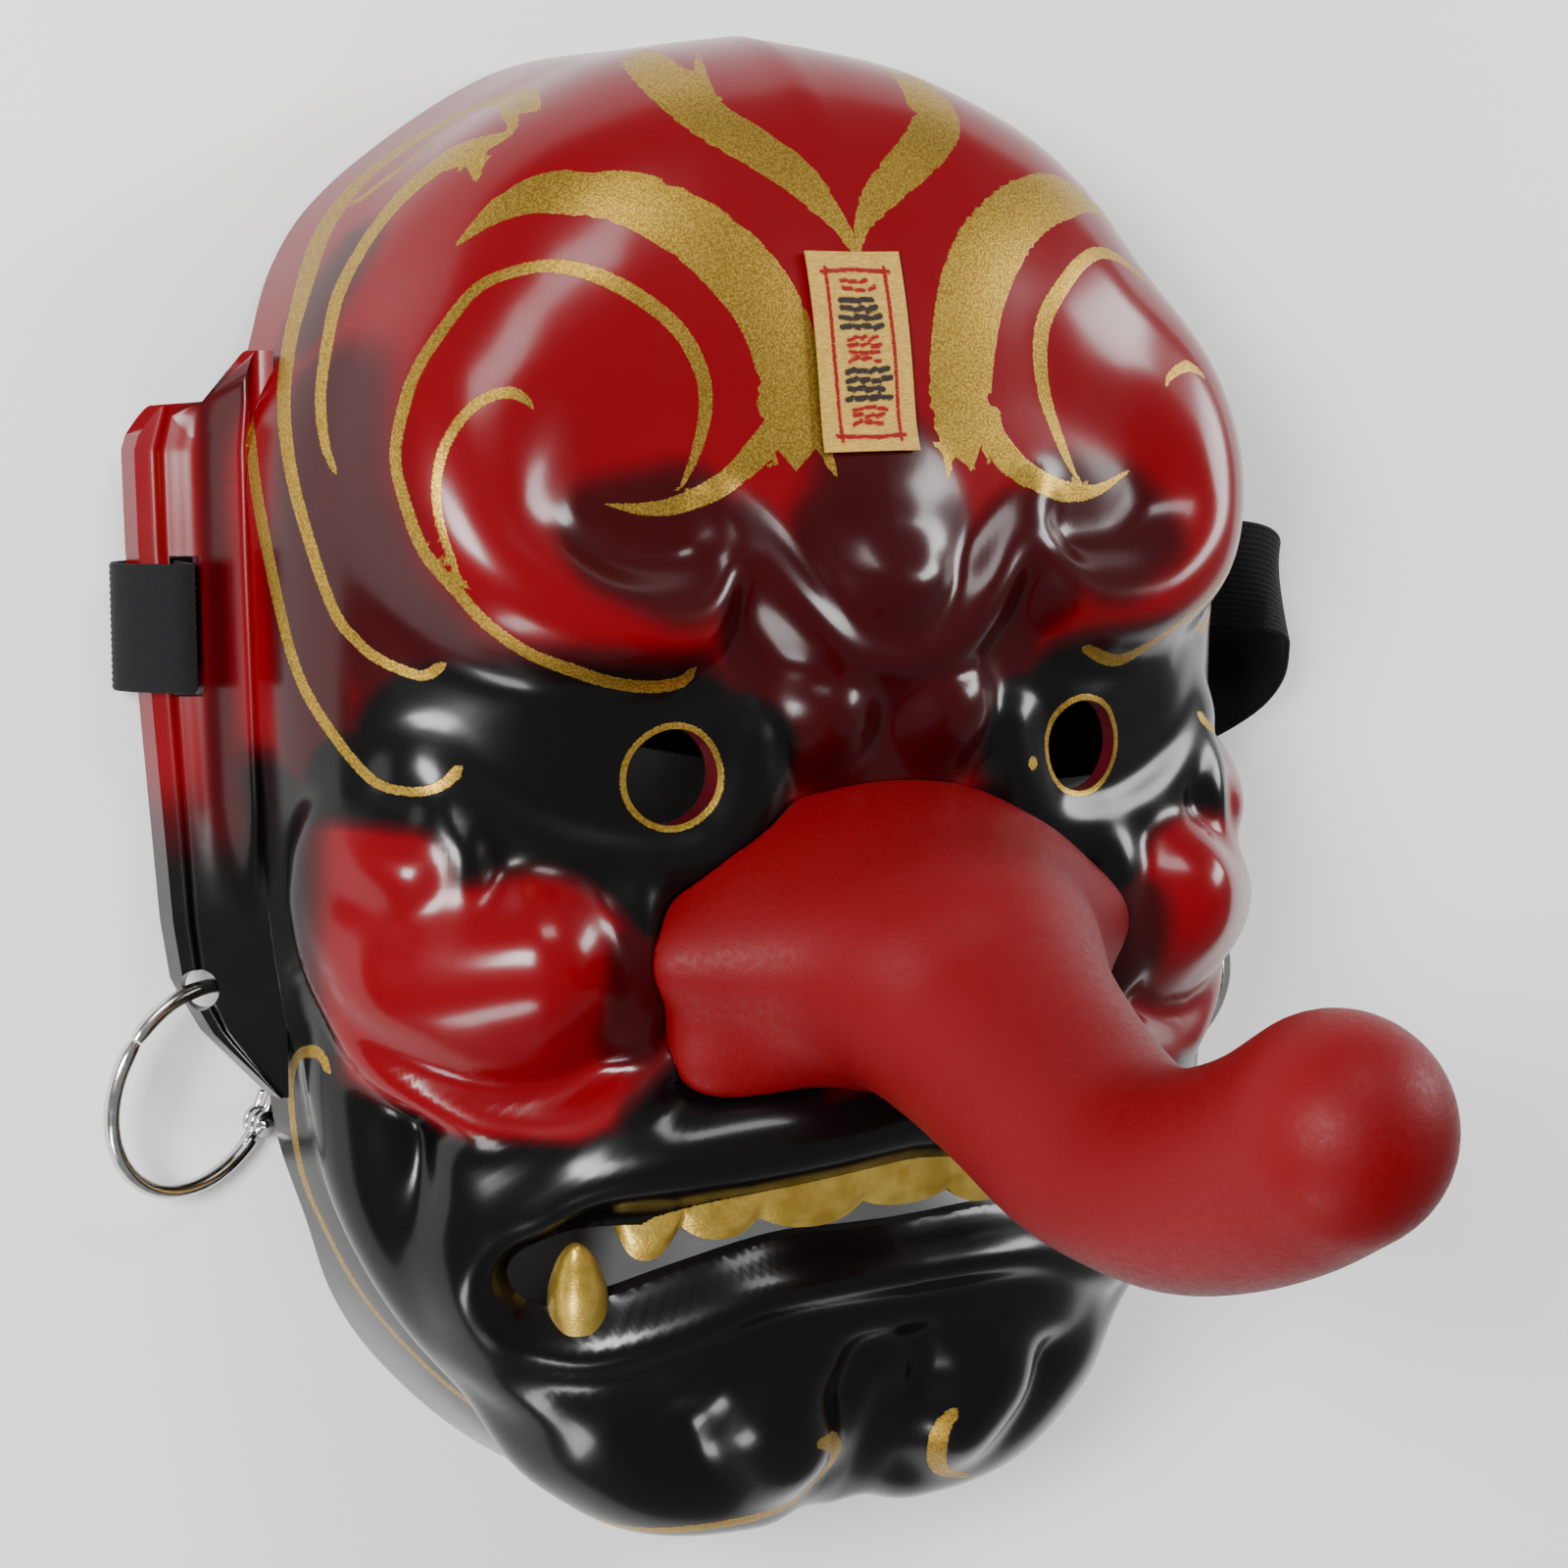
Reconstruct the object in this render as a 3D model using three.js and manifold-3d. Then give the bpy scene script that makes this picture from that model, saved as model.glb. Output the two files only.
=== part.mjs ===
// Tengu mask, lying on its rim with the nose up.
// Millimetres. X to the right as one faces the mask, Y to the forehead, Z out of the face.
import * as THREE from 'three';
import Module from 'manifold-3d';

const wasm = await Module();
wasm.setup();

// Sizes of the face
const TOP = 115.5;              // forehead, from eye level
const BOTTOM = -133.5;            // chin, from eye level
const CENTRE_Y = -12;           // middle of the face, where the meridians meet
const DOME = 65;                // height of the plain dome over the rim plane
const BULGE_ACROSS = 2.3;       // how square the dome is in plan
const BULGE_UP = 4.0;           // how flat the dome is on top
const RIM_LIFT = 12;            // the rim stands clear of the table beside the ears
const WALL = 2.8;
const FIT = 0.3;                // gap between two pieces that touch

// Half outline of the rim, from the forehead down to the chin
const OUTLINE = [
  [0, TOP], [31, 111], [59, 95], [75, 79], [83.5, 65], [88.5, 50], [88.5, 30], [88, 0], [86, -30],
  [83, -51], [79.8, -66], [69.5, -89], [49, -113.5], [26.5, -128.5], [0, BOTTOM],
];

// Openings in the face
const EYE_X = 39;
const EYE_Y = 0;
const EYE_D = 15;
const RING_HOLE_D = 6.5;
const SLOT_W = 4;
const SLOT_L = 22;
const SLOT_X = 95.6;
const SLOT_Y = 22.5;
const MOUTH = [
  [0, -69.3], [15, -69.6], [32, -70.6], [48, -69.8], [57, -70.8], [62.5, -74.5], [61.5, -79.5],
  [56.5, -82.8], [48.3, -81.8], [37, -77.8], [21, -74], [7, -73.8], [0, -73.8],
];

// Raised forms of one half: how softly each melts into the rest, and its chain of
// (out, up, radius, height over the dome)
const FORMS = {
  muzzle: [6, [[0, -70, 50, 9], [30, -76, 36, 7]]],
  forehead: [8, [[0, 42, 34, 1.6], [40, 52, 38, 3.5]]],
  crown: [8, [[0, 94, 28, 1.4], [42, 86, 27, 5.5]]],
  brow: [5.5, [[52, 69, 21, 5.5], [63, 60.5, 19, 8], [68.8, 48.3, 17, 9.5], [68, 37, 14.5, 11],
    [62.4, 29, 13, 12.5], [50.9, 23.6, 11, 12.5], [38.5, 23.6, 9.5, 11], [32.5, 27.5, 6.5, 9.5],
    [29, 33.5, 4.5, 6.5]]],
  glabella: [5, [[0, 37, 16, 5.5], [0, 29, 16, 9.5]]],
  frown: [5, [[31, 41, 5, 4.5], [24.5, 33, 6.5, 7], [18, 25.5, 7, 8.4], [9.8, 17.5, 7, 8],
    [0, 14.5, 6.5, 7.2]]],
  bridge: [6, [[11.5, 8, 10, 7.6]]],
  eyeball: [5, [[42, 2, 19, 3.6], [56, 5, 14, 2.2]]],
  upperLid: [3, [[60, 13.8, 4, 2.2], [51, 10.4, 4, 2.6], [44, 7.6, 4, 3.4], [36, 6.5, 4, 3]]],
  lowerLid: [5, [[75.9, 0.9, 6.5, 2.6], [67.8, -5.6, 6.5, 4.4], [57.5, -11, 6.5, 5.2],
    [46.8, -13.8, 6.5, 5.4], [37, -14.5, 7, 5.4], [29.5, -12, 7.5, 5.6], [25, -4, 7.5, 5.6],
    [24.5, 4, 6, 4.4]]],
  smallCheek: [5, [[90.4, -9, 7.5, 5], [78, -14, 9.5, 8.5]]],
  cheekCrescent: [4, [[74, -5.4, 4.4, 5.8], [70.3, -10.5, 4.6, 8.2], [71, -17, 4.6, 8.2],
    [77.1, -23.5, 4.4, 7.3]]],
  cheekField: [5, [[95, -13, 5, 4], [89, -22, 8.5, 6], [79, -32, 10.5, 8.5], [64, -34, 15, 10],
    [52, -32, 12, 9.5]]],
  cheek: [5, [[79, -28.8, 11.5, 9.5], [61, -27, 16, 16]]],
  cheekWing: [5, [[46, -21, 8, 8.2], [44.5, -30, 8, 8.8], [45.5, -38, 7.5, 8.4]]],
  cheekRim: [3, [[97, -18, 4, 4], [93.5, -29, 4.4, 5], [86.5, -39, 4.4, 6], [79.5, -45.5, 4.6, 7],
    [68, -51.2, 4.8, 8], [57, -51.6, 4.8, 8.5], [46.5, -47.8, 4.8, 9], [38, -43, 4.6, 9]]],
  upperLip: [4, [[60, -66, 5, 10], [51.2, -60, 8, 13], [38, -57, 11, 16], [18, -55, 12, 18],
    [0, -54.5, 11, 17]]],
  mouthCorner: [4, [[59, -65.5, 5.5, 10], [66, -70.5, 6, 10], [67.5, -78, 6, 10], [62, -86, 6, 10]]],
  lowerLip: [4, [[61, -86, 5.4, 10.5], [51, -88.5, 6.4, 12.5], [40, -85.5, 6.8, 14], [24, -80, 7, 15.2],
    [0, -79, 7, 15.8]]],
  lowerLipRoll: [4, [[66, -90, 5.6, 8.2], [54, -96, 7, 10.2], [41, -94, 7.4, 11.7],
    [27, -88.5, 7.4, 12.6], [0, -87, 7, 12.2]]],
  chinBall: [3, [[16.5, -107, 14.5, 17.5], [20.5, -101, 16, 17.5]]],
  chinMiddle: [4, [[0, -98, 10, 12.5], [0, -112, 10, 13], [0, -122, 8, 11]]],
  chinRidge: [5, [[44, -101, 8, 9.5], [33, -94, 8, 12], [12, -93.5, 8, 12.5]]],
  chinSide: [6, [[46, -106, 17, 14], [33, -114, 16, 14.5], [14, -119, 12, 12]]],
  jawOuter: [6, [[89.1, -52.8, 9, 4], [84, -69.5, 9, 6], [72, -87, 9, 7], [56, -104, 9, 7.5]]],
  jawInner: [5, [[67, -57.2, 7.5, 6], [71, -68.4, 7.5, 8], [67.5, -82, 7.5, 9], [57, -95, 7.5, 9.5],
    [47, -102, 7.5, 10]]],
  lipFold: [4, [[45, -50, 7, 9.3], [58.3, -57, 7, 9], [66.5, -64.5, 6, 9]]],
};

// Grooves of one half: chains of (out, up, radius, depth)
const GROOVES = {
  cleft: [[0, -96, 2.4, 2.5], [0, -104, 3.2, 4.5], [0, -114, 3.2, 5], [0, -126, 3, 3.5]],
  jawSlit: [[77.6, -54, 1.8, 1.6], [75.4, -62, 2.2, 2.6], [75, -69.5, 1.6, 1.4]],
  bridgeFold: [[14, 14.5, 2, 1.5], [0, 11.5, 2.5, 1.5]],
};
const ROUNDNESS = 2.4;          // profile of every raised form
const MELT_LEAST = 3.2;         // facets are too wide for a sharper meeting of two forms

const ROWS = 18;
const COLUMNS = 64;
const INNER_ROWS = 6;

const smooth = (x, a, b) => {
  const t = Math.min(1, Math.max(0, (x - a) / (b - a)));
  return t * t * (3 - 2 * t);
};
const lerp = (a, b, t) => a + (b - a) * t;
const along = (table, t) => {
  // value of a table of [key, value] pairs, straight between its rows
  for (let i = 1; i < table.length; i++) {
    const [k0, v0] = table[i - 1];
    const [k1, v1] = table[i];
    if (t <= k1) return lerp(v0, v1, Math.max(0, (t - k0) / (k1 - k0)));
  }
  return table[table.length - 1][1];
};
const meltMax = (a, b, k) => {
  const h = Math.max(k - Math.abs(a - b), 0) / k;
  return Math.max(a, b) + h * h * k / 4;
};

// A smooth curve through a few points
function curve(points, steps) {
  const line = new THREE.CatmullRomCurve3(
    points.map((p) => new THREE.Vector3(p[0], p[1], p[2] || 0)), false, 'catmullrom', 0.5);
  return line.getPoints(steps);
}

// Height of one chain of forms at a place on the dome
function chainHeight(chain, u, v, shrink, share) {
  let best = -8;
  const last = Math.max(1, chain.length - 1);
  for (let i = 0; i < last; i++) {
    const a = chain[i];
    const b = chain[Math.min(i + 1, chain.length - 1)];
    const dx = b[0] - a[0];
    const dy = b[1] - a[1];
    const len = dx * dx + dy * dy;
    const t = len > 0 ? Math.min(1, Math.max(0, ((u - a[0]) * dx + (v - a[1]) * dy) / len)) : 0;
    const r = Math.max(2, lerp(a[2], b[2], t) - shrink);
    const h = lerp(a[3], b[3], t) * share;
    const q = Math.hypot(u - a[0] - dx * t, v - a[1] - dy * t) / r;
    best = Math.max(best, h * (1 - Math.pow(q, ROUNDNESS)));
  }
  return Math.max(best, -8);
}

// Relief over the dome at (u, v), both halves alike
function relief(u, v, shrink = 0, share = 1) {
  const side = Math.abs(u);
  let d = 0;
  for (const [melt, chain] of Object.values(FORMS)) {
    d = meltMax(d, chainHeight(chain, side, v, shrink, share), Math.max(melt, MELT_LEAST));
  }
  for (const chain of Object.values(GROOVES)) {
    d -= Math.max(0, chainHeight(chain, side, v, 0, share));
  }
  return d;
}

// The same relief evened out over a small patch, as the facets are wider than the finest folds
const PATCH = 3.6;

function evenRelief(u, v, shrink, share) {
  let sum = 2 * relief(u, v, shrink, share);
  for (let k = 0; k < 6; k++) {
    const a = k / 6 * 2 * Math.PI;
    sum += relief(u + PATCH * Math.cos(a), v + PATCH * Math.sin(a), shrink, share);
  }
  return sum / 8;
}

// The rim in polar form, and the dome over it
const halfOutline = curve(OUTLINE, 240).map((p) => {
  return [Math.atan2(p.x, p.y - CENTRE_Y), Math.hypot(p.x, p.y - CENTRE_Y)];
});
const rimRadius = (phi) => along(halfOutline, Math.abs(Math.atan2(Math.sin(phi), Math.cos(phi))));
const rimLift = (y) => RIM_LIFT * smooth(y, -104, -72) * (1 - smooth(y, 62, 88));
const QUARTER = Array.from({ length: 161 }, (_, i) => i / 160 * Math.PI / 2);

function meridian(phi) {
  const reach = rimRadius(phi);
  const foot = rimLift(CENTRE_Y + reach * Math.cos(phi));
  const out = [[0, 0, DOME]];
  for (const a of QUARTER.slice(1)) {
    const r = reach * Math.pow(Math.sin(a), 2 / BULGE_ACROSS);
    const z = foot + (DOME - foot) * Math.pow(Math.max(0, Math.cos(a)), 2 / BULGE_UP);
    const p = out[out.length - 1];
    out.push([p[0] + Math.hypot(r - p[1], z - p[2]), r, z]);
  }
  return out;
}

// Point and outward direction of the dome, a distance s down the meridian phi
function domePoint(phi, s) {
  const m = meridian(phi);
  const whole = m[m.length - 1][0];
  const at = (d) => {
    const k = Math.min(whole, Math.max(0, d));
    let i = 1;
    while (i < m.length - 1 && m[i][0] < k) i++;
    const t = (k - m[i - 1][0]) / (m[i][0] - m[i - 1][0]);
    return [lerp(m[i - 1][1], m[i][1], t), lerp(m[i - 1][2], m[i][2], t)];
  };
  const [r, z] = at(s);
  const [r0, z0] = at(s - 1.5);
  const [r1, z1] = at(s + 1.5);
  const len = Math.hypot(r1 - r0, z1 - z0) || 1;
  const nr = -(z1 - z0) / len;
  const nz = (r1 - r0) / len;
  const sx = Math.sin(phi);
  const sy = Math.cos(phi);
  return {
    at: new THREE.Vector3(r * sx, CENTRE_Y + r * sy, z),
    out: new THREE.Vector3(nr * sx, nr * sy, nz),
    u: s * sx,
    v: CENTRE_Y + s * sy,
    share: s / whole,
  };
}

const edgeFade = (share) => 1 - smooth(share, 0.86, 1);

function faceSurface(phi, share, lift, shrink, scale) {
  const m = meridian(phi);
  const p = domePoint(phi, share * m[m.length - 1][0]);
  const d = evenRelief(p.u, p.v, shrink, scale) * edgeFade(share) + lift;
  return p.at.addScaledVector(p.out, d);
}

// Closed solid from loose triangles
function solid(points, triangles) {
  const verts = [];
  const seen = new Map();
  const index = points.map((p) => {
    const key = [p.x, p.y, p.z].map((c) => Math.round(c * 1e4)).join();
    if (!seen.has(key)) {
      seen.set(key, verts.length / 3);
      verts.push(p.x, p.y, p.z);
    }
    return seen.get(key);
  });
  let volume = 0;
  const tris = [];
  for (const [a, b, c] of triangles) {
    const t = [index[a], index[b], index[c]];
    if (t[0] === t[1] || t[1] === t[2] || t[0] === t[2]) continue;
    tris.push(t);
    volume += points[a].dot(new THREE.Vector3().crossVectors(points[b], points[c]));
  }
  const flat = tris.flatMap(([a, b, c]) => (volume < 0 ? [a, c, b] : [a, b, c]));
  return new wasm.Manifold(new wasm.Mesh({
    numProp: 3,
    vertProperties: new Float32Array(verts),
    triVerts: new Uint32Array(flat),
  }));
}

// Rows of points that each run round; the ends are closed with fans
function wrap(rows, first, last) {
  const n = rows[0].length;
  const points = rows.flat();
  const tris = [];
  for (let i = 0; i + 1 < rows.length; i++) {
    for (let j = 0; j < n; j++) {
      const a = i * n + j;
      const b = i * n + (j + 1) % n;
      tris.push([a, a + n, b], [b, a + n, b + n]);
    }
  }
  const middle = (row) => row.reduce((s, p) => s.add(p), new THREE.Vector3()).divideScalar(row.length);
  const startCap = first || middle(rows[0]);
  const endCap = last || middle(rows[rows.length - 1]);
  const a0 = points.push(startCap) - 1;
  const b0 = points.push(endCap) - 1;
  const end = (rows.length - 1) * n;
  for (let j = 0; j < n; j++) {
    tris.push([a0, j, (j + 1) % n], [b0, end + (j + 1) % n, end + j]);
  }
  return solid(points, tris);
}

// A flat outline in XY, drawn up from z0 to z1
function prism(outline, z0, z1) {
  return wrap([z0, z1].map((z) => outline.map(([x, y]) => new THREE.Vector3(x, y, z))));
}

function rounded(outline, steps) {
  const pts = outline.map(([x, y]) => new THREE.Vector3(x, y, 0));
  return new THREE.CatmullRomCurve3(pts, true, 'catmullrom', 0.5).getPoints(steps).slice(0, -1)
    .map((p) => [p.x, p.y]);
}

// Pin between two points, with a radius at each end
function pin(from, to, r0, r1, sides = 12) {
  const axis = to.clone().sub(from).normalize();
  const side = new THREE.Vector3(Math.abs(axis.x) > 0.7 ? 0 : 1, Math.abs(axis.x) > 0.7 ? 1 : 0, 0)
    .cross(axis).normalize();
  const up = axis.clone().cross(side);
  const row = (c, r) => Array.from({ length: sides }, (_, k) => {
    const a = k / sides * 2 * Math.PI;
    return c.clone().addScaledVector(side, r * Math.cos(a)).addScaledVector(up, r * Math.sin(a));
  });
  return wrap([row(from, r0), row(to, r1)]);
}

// The face: outer skin, rim and inner skin
function faceSolid(lift, hollow, count = ROWS, turns = COLUMNS) {
  const rows = [];
  for (let i = 1; i <= count; i++) {
    rows.push(Array.from({ length: turns }, (_, j) => {
      return faceSurface(j / turns * 2 * Math.PI, i / count, lift, 0, 1);
    }));
  }
  const crown = faceSurface(0, 0, lift, 0, 1);
  if (!hollow) {
    rows.push(rows[count - 1].map((p) => new THREE.Vector3(p.x, p.y, -20)));
    return wrap(rows, crown);
  }
  for (let i = INNER_ROWS; i >= 1; i--) {
    rows.push(Array.from({ length: turns }, (_, j) => {
      const phi = j / turns * 2 * Math.PI;
      const p = faceSurface(phi, i / INNER_ROWS, -WALL, 2.2, 0.92);
      if (i === INNER_ROWS) p.z = rows[count - 1][j].z;
      return p;
    }));
  }
  return wrap(rows, crown, faceSurface(0, 0, -WALL, 2.2, 0.92));
}

// Ears: a flap that slopes back from the side of the head
const EAR_TIP = 57.3;
const EAR_FOOT = -52;
const EAR_ROOT = 84.6;
const EAR_EDGE = [[-52, 86], [-49.4, 88.1], [-42, 94], [-34, 97.6], [-24.5, 98.7], [6.8, 100.4],
  [34.6, 101.8], [50, 102], [EAR_TIP, 100.2]];
const EAR_LOW = 8;              // height of the outer edge
const EAR_SLOPE = 0.9;
const EAR_THICK = 3.8;
const EAR_RIM = 1.6;            // raised border
const EAR_NOTCH = 0.53;         // share of the width where the top edge dips
const EAR_RISE = 11.5;          // from the notch the top edge climbs to the head
const EAR_RIDGE = 2.8;          // raised fold between the slot and the head
const earEdge = (y) => along(EAR_EDGE, y);
const earTop = (x) => EAR_LOW + (102 - x) * EAR_SLOPE;

function ear(side) {
  const across = [0, 0.2, 0.36, EAR_NOTCH, 0.74, 0.86, 1];
  const steps = 13;
  const top = [];
  const under = [];
  for (let j = 0; j <= steps; j++) {
    const rowTop = [];
    const rowUnder = [];
    for (const a of across) {
      const root = Math.min(1, Math.max(0, (EAR_NOTCH - a) / 0.33));
      const head = lerp(EAR_TIP - 3.5, EAR_TIP, smooth(a, EAR_NOTCH, 1)) + EAR_RISE * root;
      const y = lerp(EAR_FOOT, head, Math.sin(j / steps * Math.PI / 2));
      const x = lerp(EAR_ROOT, earEdge(y), a);
      const upper = smooth(y, -20, 0);
      const rise = EAR_RIM * smooth(a, 0.74, 0.86) + EAR_RIDGE * upper * (a === 0.2 || a === 0.36 ? 1 : 0);
      const low = Math.max(a < 0.1 ? RIM_LIFT : 3.8, earTop(x) - EAR_THICK);
      rowTop.push(new THREE.Vector3(side * x, y, earTop(x) + rise));
      rowUnder.push(new THREE.Vector3(side * x, y, low));
    }
    top.push(rowTop);
    under.push(rowUnder);
  }
  return wrap(top.map((row, j) => [...row, ...under[j].slice().reverse()]));
}

// Upper teeth: a scalloped plate behind the lip
// [notch out, notch up, lowest place of the tooth before it]
const TEETH = [[8, -67.8, -69.2], [25.2, -68.8, -71], [37, -69.6, -72], [46.5, -69.5, -75.4],
  [49.5, -66.5, -66.5]];
const TEETH_TOP = -58;
const TEETH_THICK = 3;
const TEETH_BACK = 4.5;         // how far the plate stands back from the lip

function surfaceAt(u, v, lift) {
  const p = domePoint(Math.atan2(u, v - CENTRE_Y), Math.hypot(u, v - CENTRE_Y));
  return p.at.addScaledVector(p.out, lift);
}

// Stations across one half of the teeth: [out, lower edge]
function teethEdge() {
  const out = [[0, TEETH[0][2]], [5, TEETH[0][2] + 0.3], [TEETH[0][0], TEETH[0][1]]];
  for (let i = 1; i < TEETH.length; i++) {
    const [u0, v0] = TEETH[i - 1];
    const [u1, v1, low] = TEETH[i];
    for (const t of i < 4 ? [0.25, 0.75, 1] : [1]) {
      const drop = (lerp(v0, v1, t) - low) * (1 - Math.pow(Math.abs(2 * t - 1), 2.4));
      out.push([lerp(u0, u1, t), lerp(v0, v1, t) - drop]);
    }
  }
  return out;
}

function teeth() {
  const rows = [];
  const half = teethEdge();
  for (const [u, low] of [...half.slice(1).reverse().map(([x, y]) => [-x, y]), ...half]) {
    const h = lerp(16, 9, Math.pow(Math.abs(u) / 50, 2)) - TEETH_BACK;
    rows.push([
      surfaceAt(u, TEETH_TOP, h), surfaceAt(u, low, h),
      surfaceAt(u, low, h - TEETH_THICK), surfaceAt(u, TEETH_TOP, h - TEETH_THICK),
    ]);
  }
  return wrap(rows);
}

function fang(side) {
  const rows = [];
  const foot = surfaceAt(side * 50.5, -84.5, 5);
  const tip = surfaceAt(side * 53.5, -70.5, 8);
  const axis = tip.clone().sub(foot).normalize();
  const a = new THREE.Vector3(1, 0, 0).cross(axis).normalize();
  const b = axis.clone().cross(a);
  for (const [t, r] of [[0, 4.8], [0.4, 4.6], [0.7, 3.4], [0.9, 2], [1, 0.8]]) {
    const c = foot.clone().lerp(tip, t);
    rows.push(Array.from({ length: 10 }, (_, k) => {
      const q = k / 10 * 2 * Math.PI;
      return c.clone().addScaledVector(a, r * Math.cos(q)).addScaledVector(b, r * Math.sin(q));
    }));
  }
  return wrap(rows);
}

const RING_HOLE = new THREE.Vector3(94.3, -35, EAR_LOW + (102 - 94.3) * EAR_SLOPE - EAR_THICK / 2);
const EAR_OUT = new THREE.Vector3(EAR_SLOPE, 0, 1).normalize();

function maskShell() {
  let shell = faceSolid(0, true);
  for (const side of [-1, 1]) {
    shell = shell.add(ear(side));
    shell = shell.subtract(pin(new THREE.Vector3(side * EYE_X, EYE_Y, 30),
      new THREE.Vector3(side * EYE_X, EYE_Y, 90), EYE_D / 2, EYE_D / 2, 20));
    const half = SLOT_W / 2;
    const long = SLOT_L / 2;
    shell = shell.subtract(prism([[-half, -long], [half, -long], [half, long], [-half, long]]
      .map(([x, y]) => [side * SLOT_X + x, SLOT_Y + y]), -1, 30));
    const hole = RING_HOLE.clone();
    hole.x *= side;
    const out = EAR_OUT.clone();
    out.x *= side;
    shell = shell.subtract(pin(hole.clone().addScaledVector(out, -8), hole.clone().addScaledVector(out, 8),
      RING_HOLE_D / 2, RING_HOLE_D / 2, 14));
  }
  const mouth = [...MOUTH.slice(1, -1), ...MOUTH.slice(1, -1).reverse().map(([x, y]) => [-x, y])];
  shell = shell.subtract(prism(rounded(mouth, 40), 20, 100));
  shell = shell.add(teeth());
  for (const side of [-1, 1]) shell = shell.add(fang(side));
  return shell;
}

// Nose: sections along a line that leaves the face, sinks, and turns up at the end
// [up, out, half width, half depth]
const NOSE = [
  [-26, 55, 40, 22.5], [-26.5, 63, 41.5, 22.5], [-28, 71, 39, 22.2], [-30, 79, 32, 22],
  [-33.5, 88, 25.5, 20], [-39, 98, 21, 18], [-45, 109, 18.5, 17], [-51, 121, 17.2, 16.6],
  [-53.6, 132, 16.4, 16], [-53.6, 143.5, 16.4, 16.2], [-50.8, 155, 16.6, 16.4], [-46.4, 166, 16.8, 16.6],
];
const NOSE_TIP = [-40.5, 176.5];
const NOSE_END = 16.8;
const NOSE_SIDES = 18;

// Swelling of the nose at an angle from its ridge: the wings, the nostrils and the raised bridge
const bell = (x, middle, width) => Math.exp(-Math.pow((x - middle) / width, 2));
function noseSwell(side, z) {
  const root = bell(z, 72, 9) * (6 * bell(side, 1.62, 0.3) + 10 * bell(side, 2.2, 0.24));
  return root + 1.6 * (1 - smooth(z, 88, 98)) * bell(side, 0, 1.1);
}

function nose() {
  const line = NOSE.map(([y, z]) => new THREE.Vector3(0, y, z));
  line.push(new THREE.Vector3(0, NOSE_TIP[0], NOSE_TIP[1]));
  const rows = [];
  const section = (c, dir, a, b, swell) => {
    const up = new THREE.Vector3(1, 0, 0).cross(dir).normalize().negate();
    return Array.from({ length: NOSE_SIDES }, (_, k) => {
      const q = k / NOSE_SIDES * 2 * Math.PI;
      const s = swell ? swell(q) : 0;
      return c.clone()
        .add(new THREE.Vector3((a + s) * Math.sin(q), 0, 0))
        .addScaledVector(up, (b + s) * Math.cos(q));
    });
  };
  for (let i = 0; i < NOSE.length; i++) {
    const dir = i < 3 ? new THREE.Vector3(0, 0, 1)
      : line[i + 1].clone().sub(line[i - 1]).normalize();
    const [, z, a, b] = NOSE[i];
    rows.push(section(line[i], dir, a, b, (q) => {
      return noseSwell(Math.abs(Math.atan2(Math.sin(q), Math.cos(q))), z);
    }));
  }
  const dir = line[line.length - 1].clone().sub(line[line.length - 3]).normalize();
  for (const a of [8, 30, 50, 68, 82]) {
    const q = a * Math.PI / 180;
    const c = line[line.length - 1].clone().addScaledVector(dir, NOSE_END * Math.sin(q));
    rows.push(section(c, dir, NOSE_END * Math.cos(q), NOSE_END * Math.cos(q)));
  }
  const end = line[line.length - 1].clone().addScaledVector(dir, NOSE_END);
  return wrap(rows, null, end).subtract(faceSolid(1.5 * FIT, false));
}

// Paper label on the forehead
const LABEL_W = 17.5;
const LABEL_L = 31;
const LABEL_LOW = 48.5;
const LABEL_X = -1.8;           // stuck on a little to one side
const LABEL_THICK = 0.5;

function label() {
  const rows = [];
  const n = 8;
  for (let i = 0; i <= n; i++) {
    const v = lerp(LABEL_LOW, LABEL_LOW + LABEL_L, i / n);
    const row = [];
    const m = 4;
    for (let k = 0; k <= m; k++) {
      const u = LABEL_X + lerp(-LABEL_W / 2, LABEL_W / 2, k / m);
      row.push(surfaceAt(u, v, evenRelief(u, v, 0, 1) + 2 * FIT + LABEL_THICK));
    }
    for (let k = m; k >= 0; k--) {
      const u = LABEL_X + lerp(-LABEL_W / 2, LABEL_W / 2, k / m);
      row.push(surfaceAt(u, v, evenRelief(u, v, 0, 1) + 2 * FIT));
    }
    rows.push(row);
  }
  return wrap(rows);
}

// Elastic strap: a flat band, sewn in a small loop round the outer edge of each ear
const STRAP_W = 20;
const STRAP_T = 1.3;
const STRAP_LOW = 0.95;         // middle of the band where it lies on the table

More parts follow.
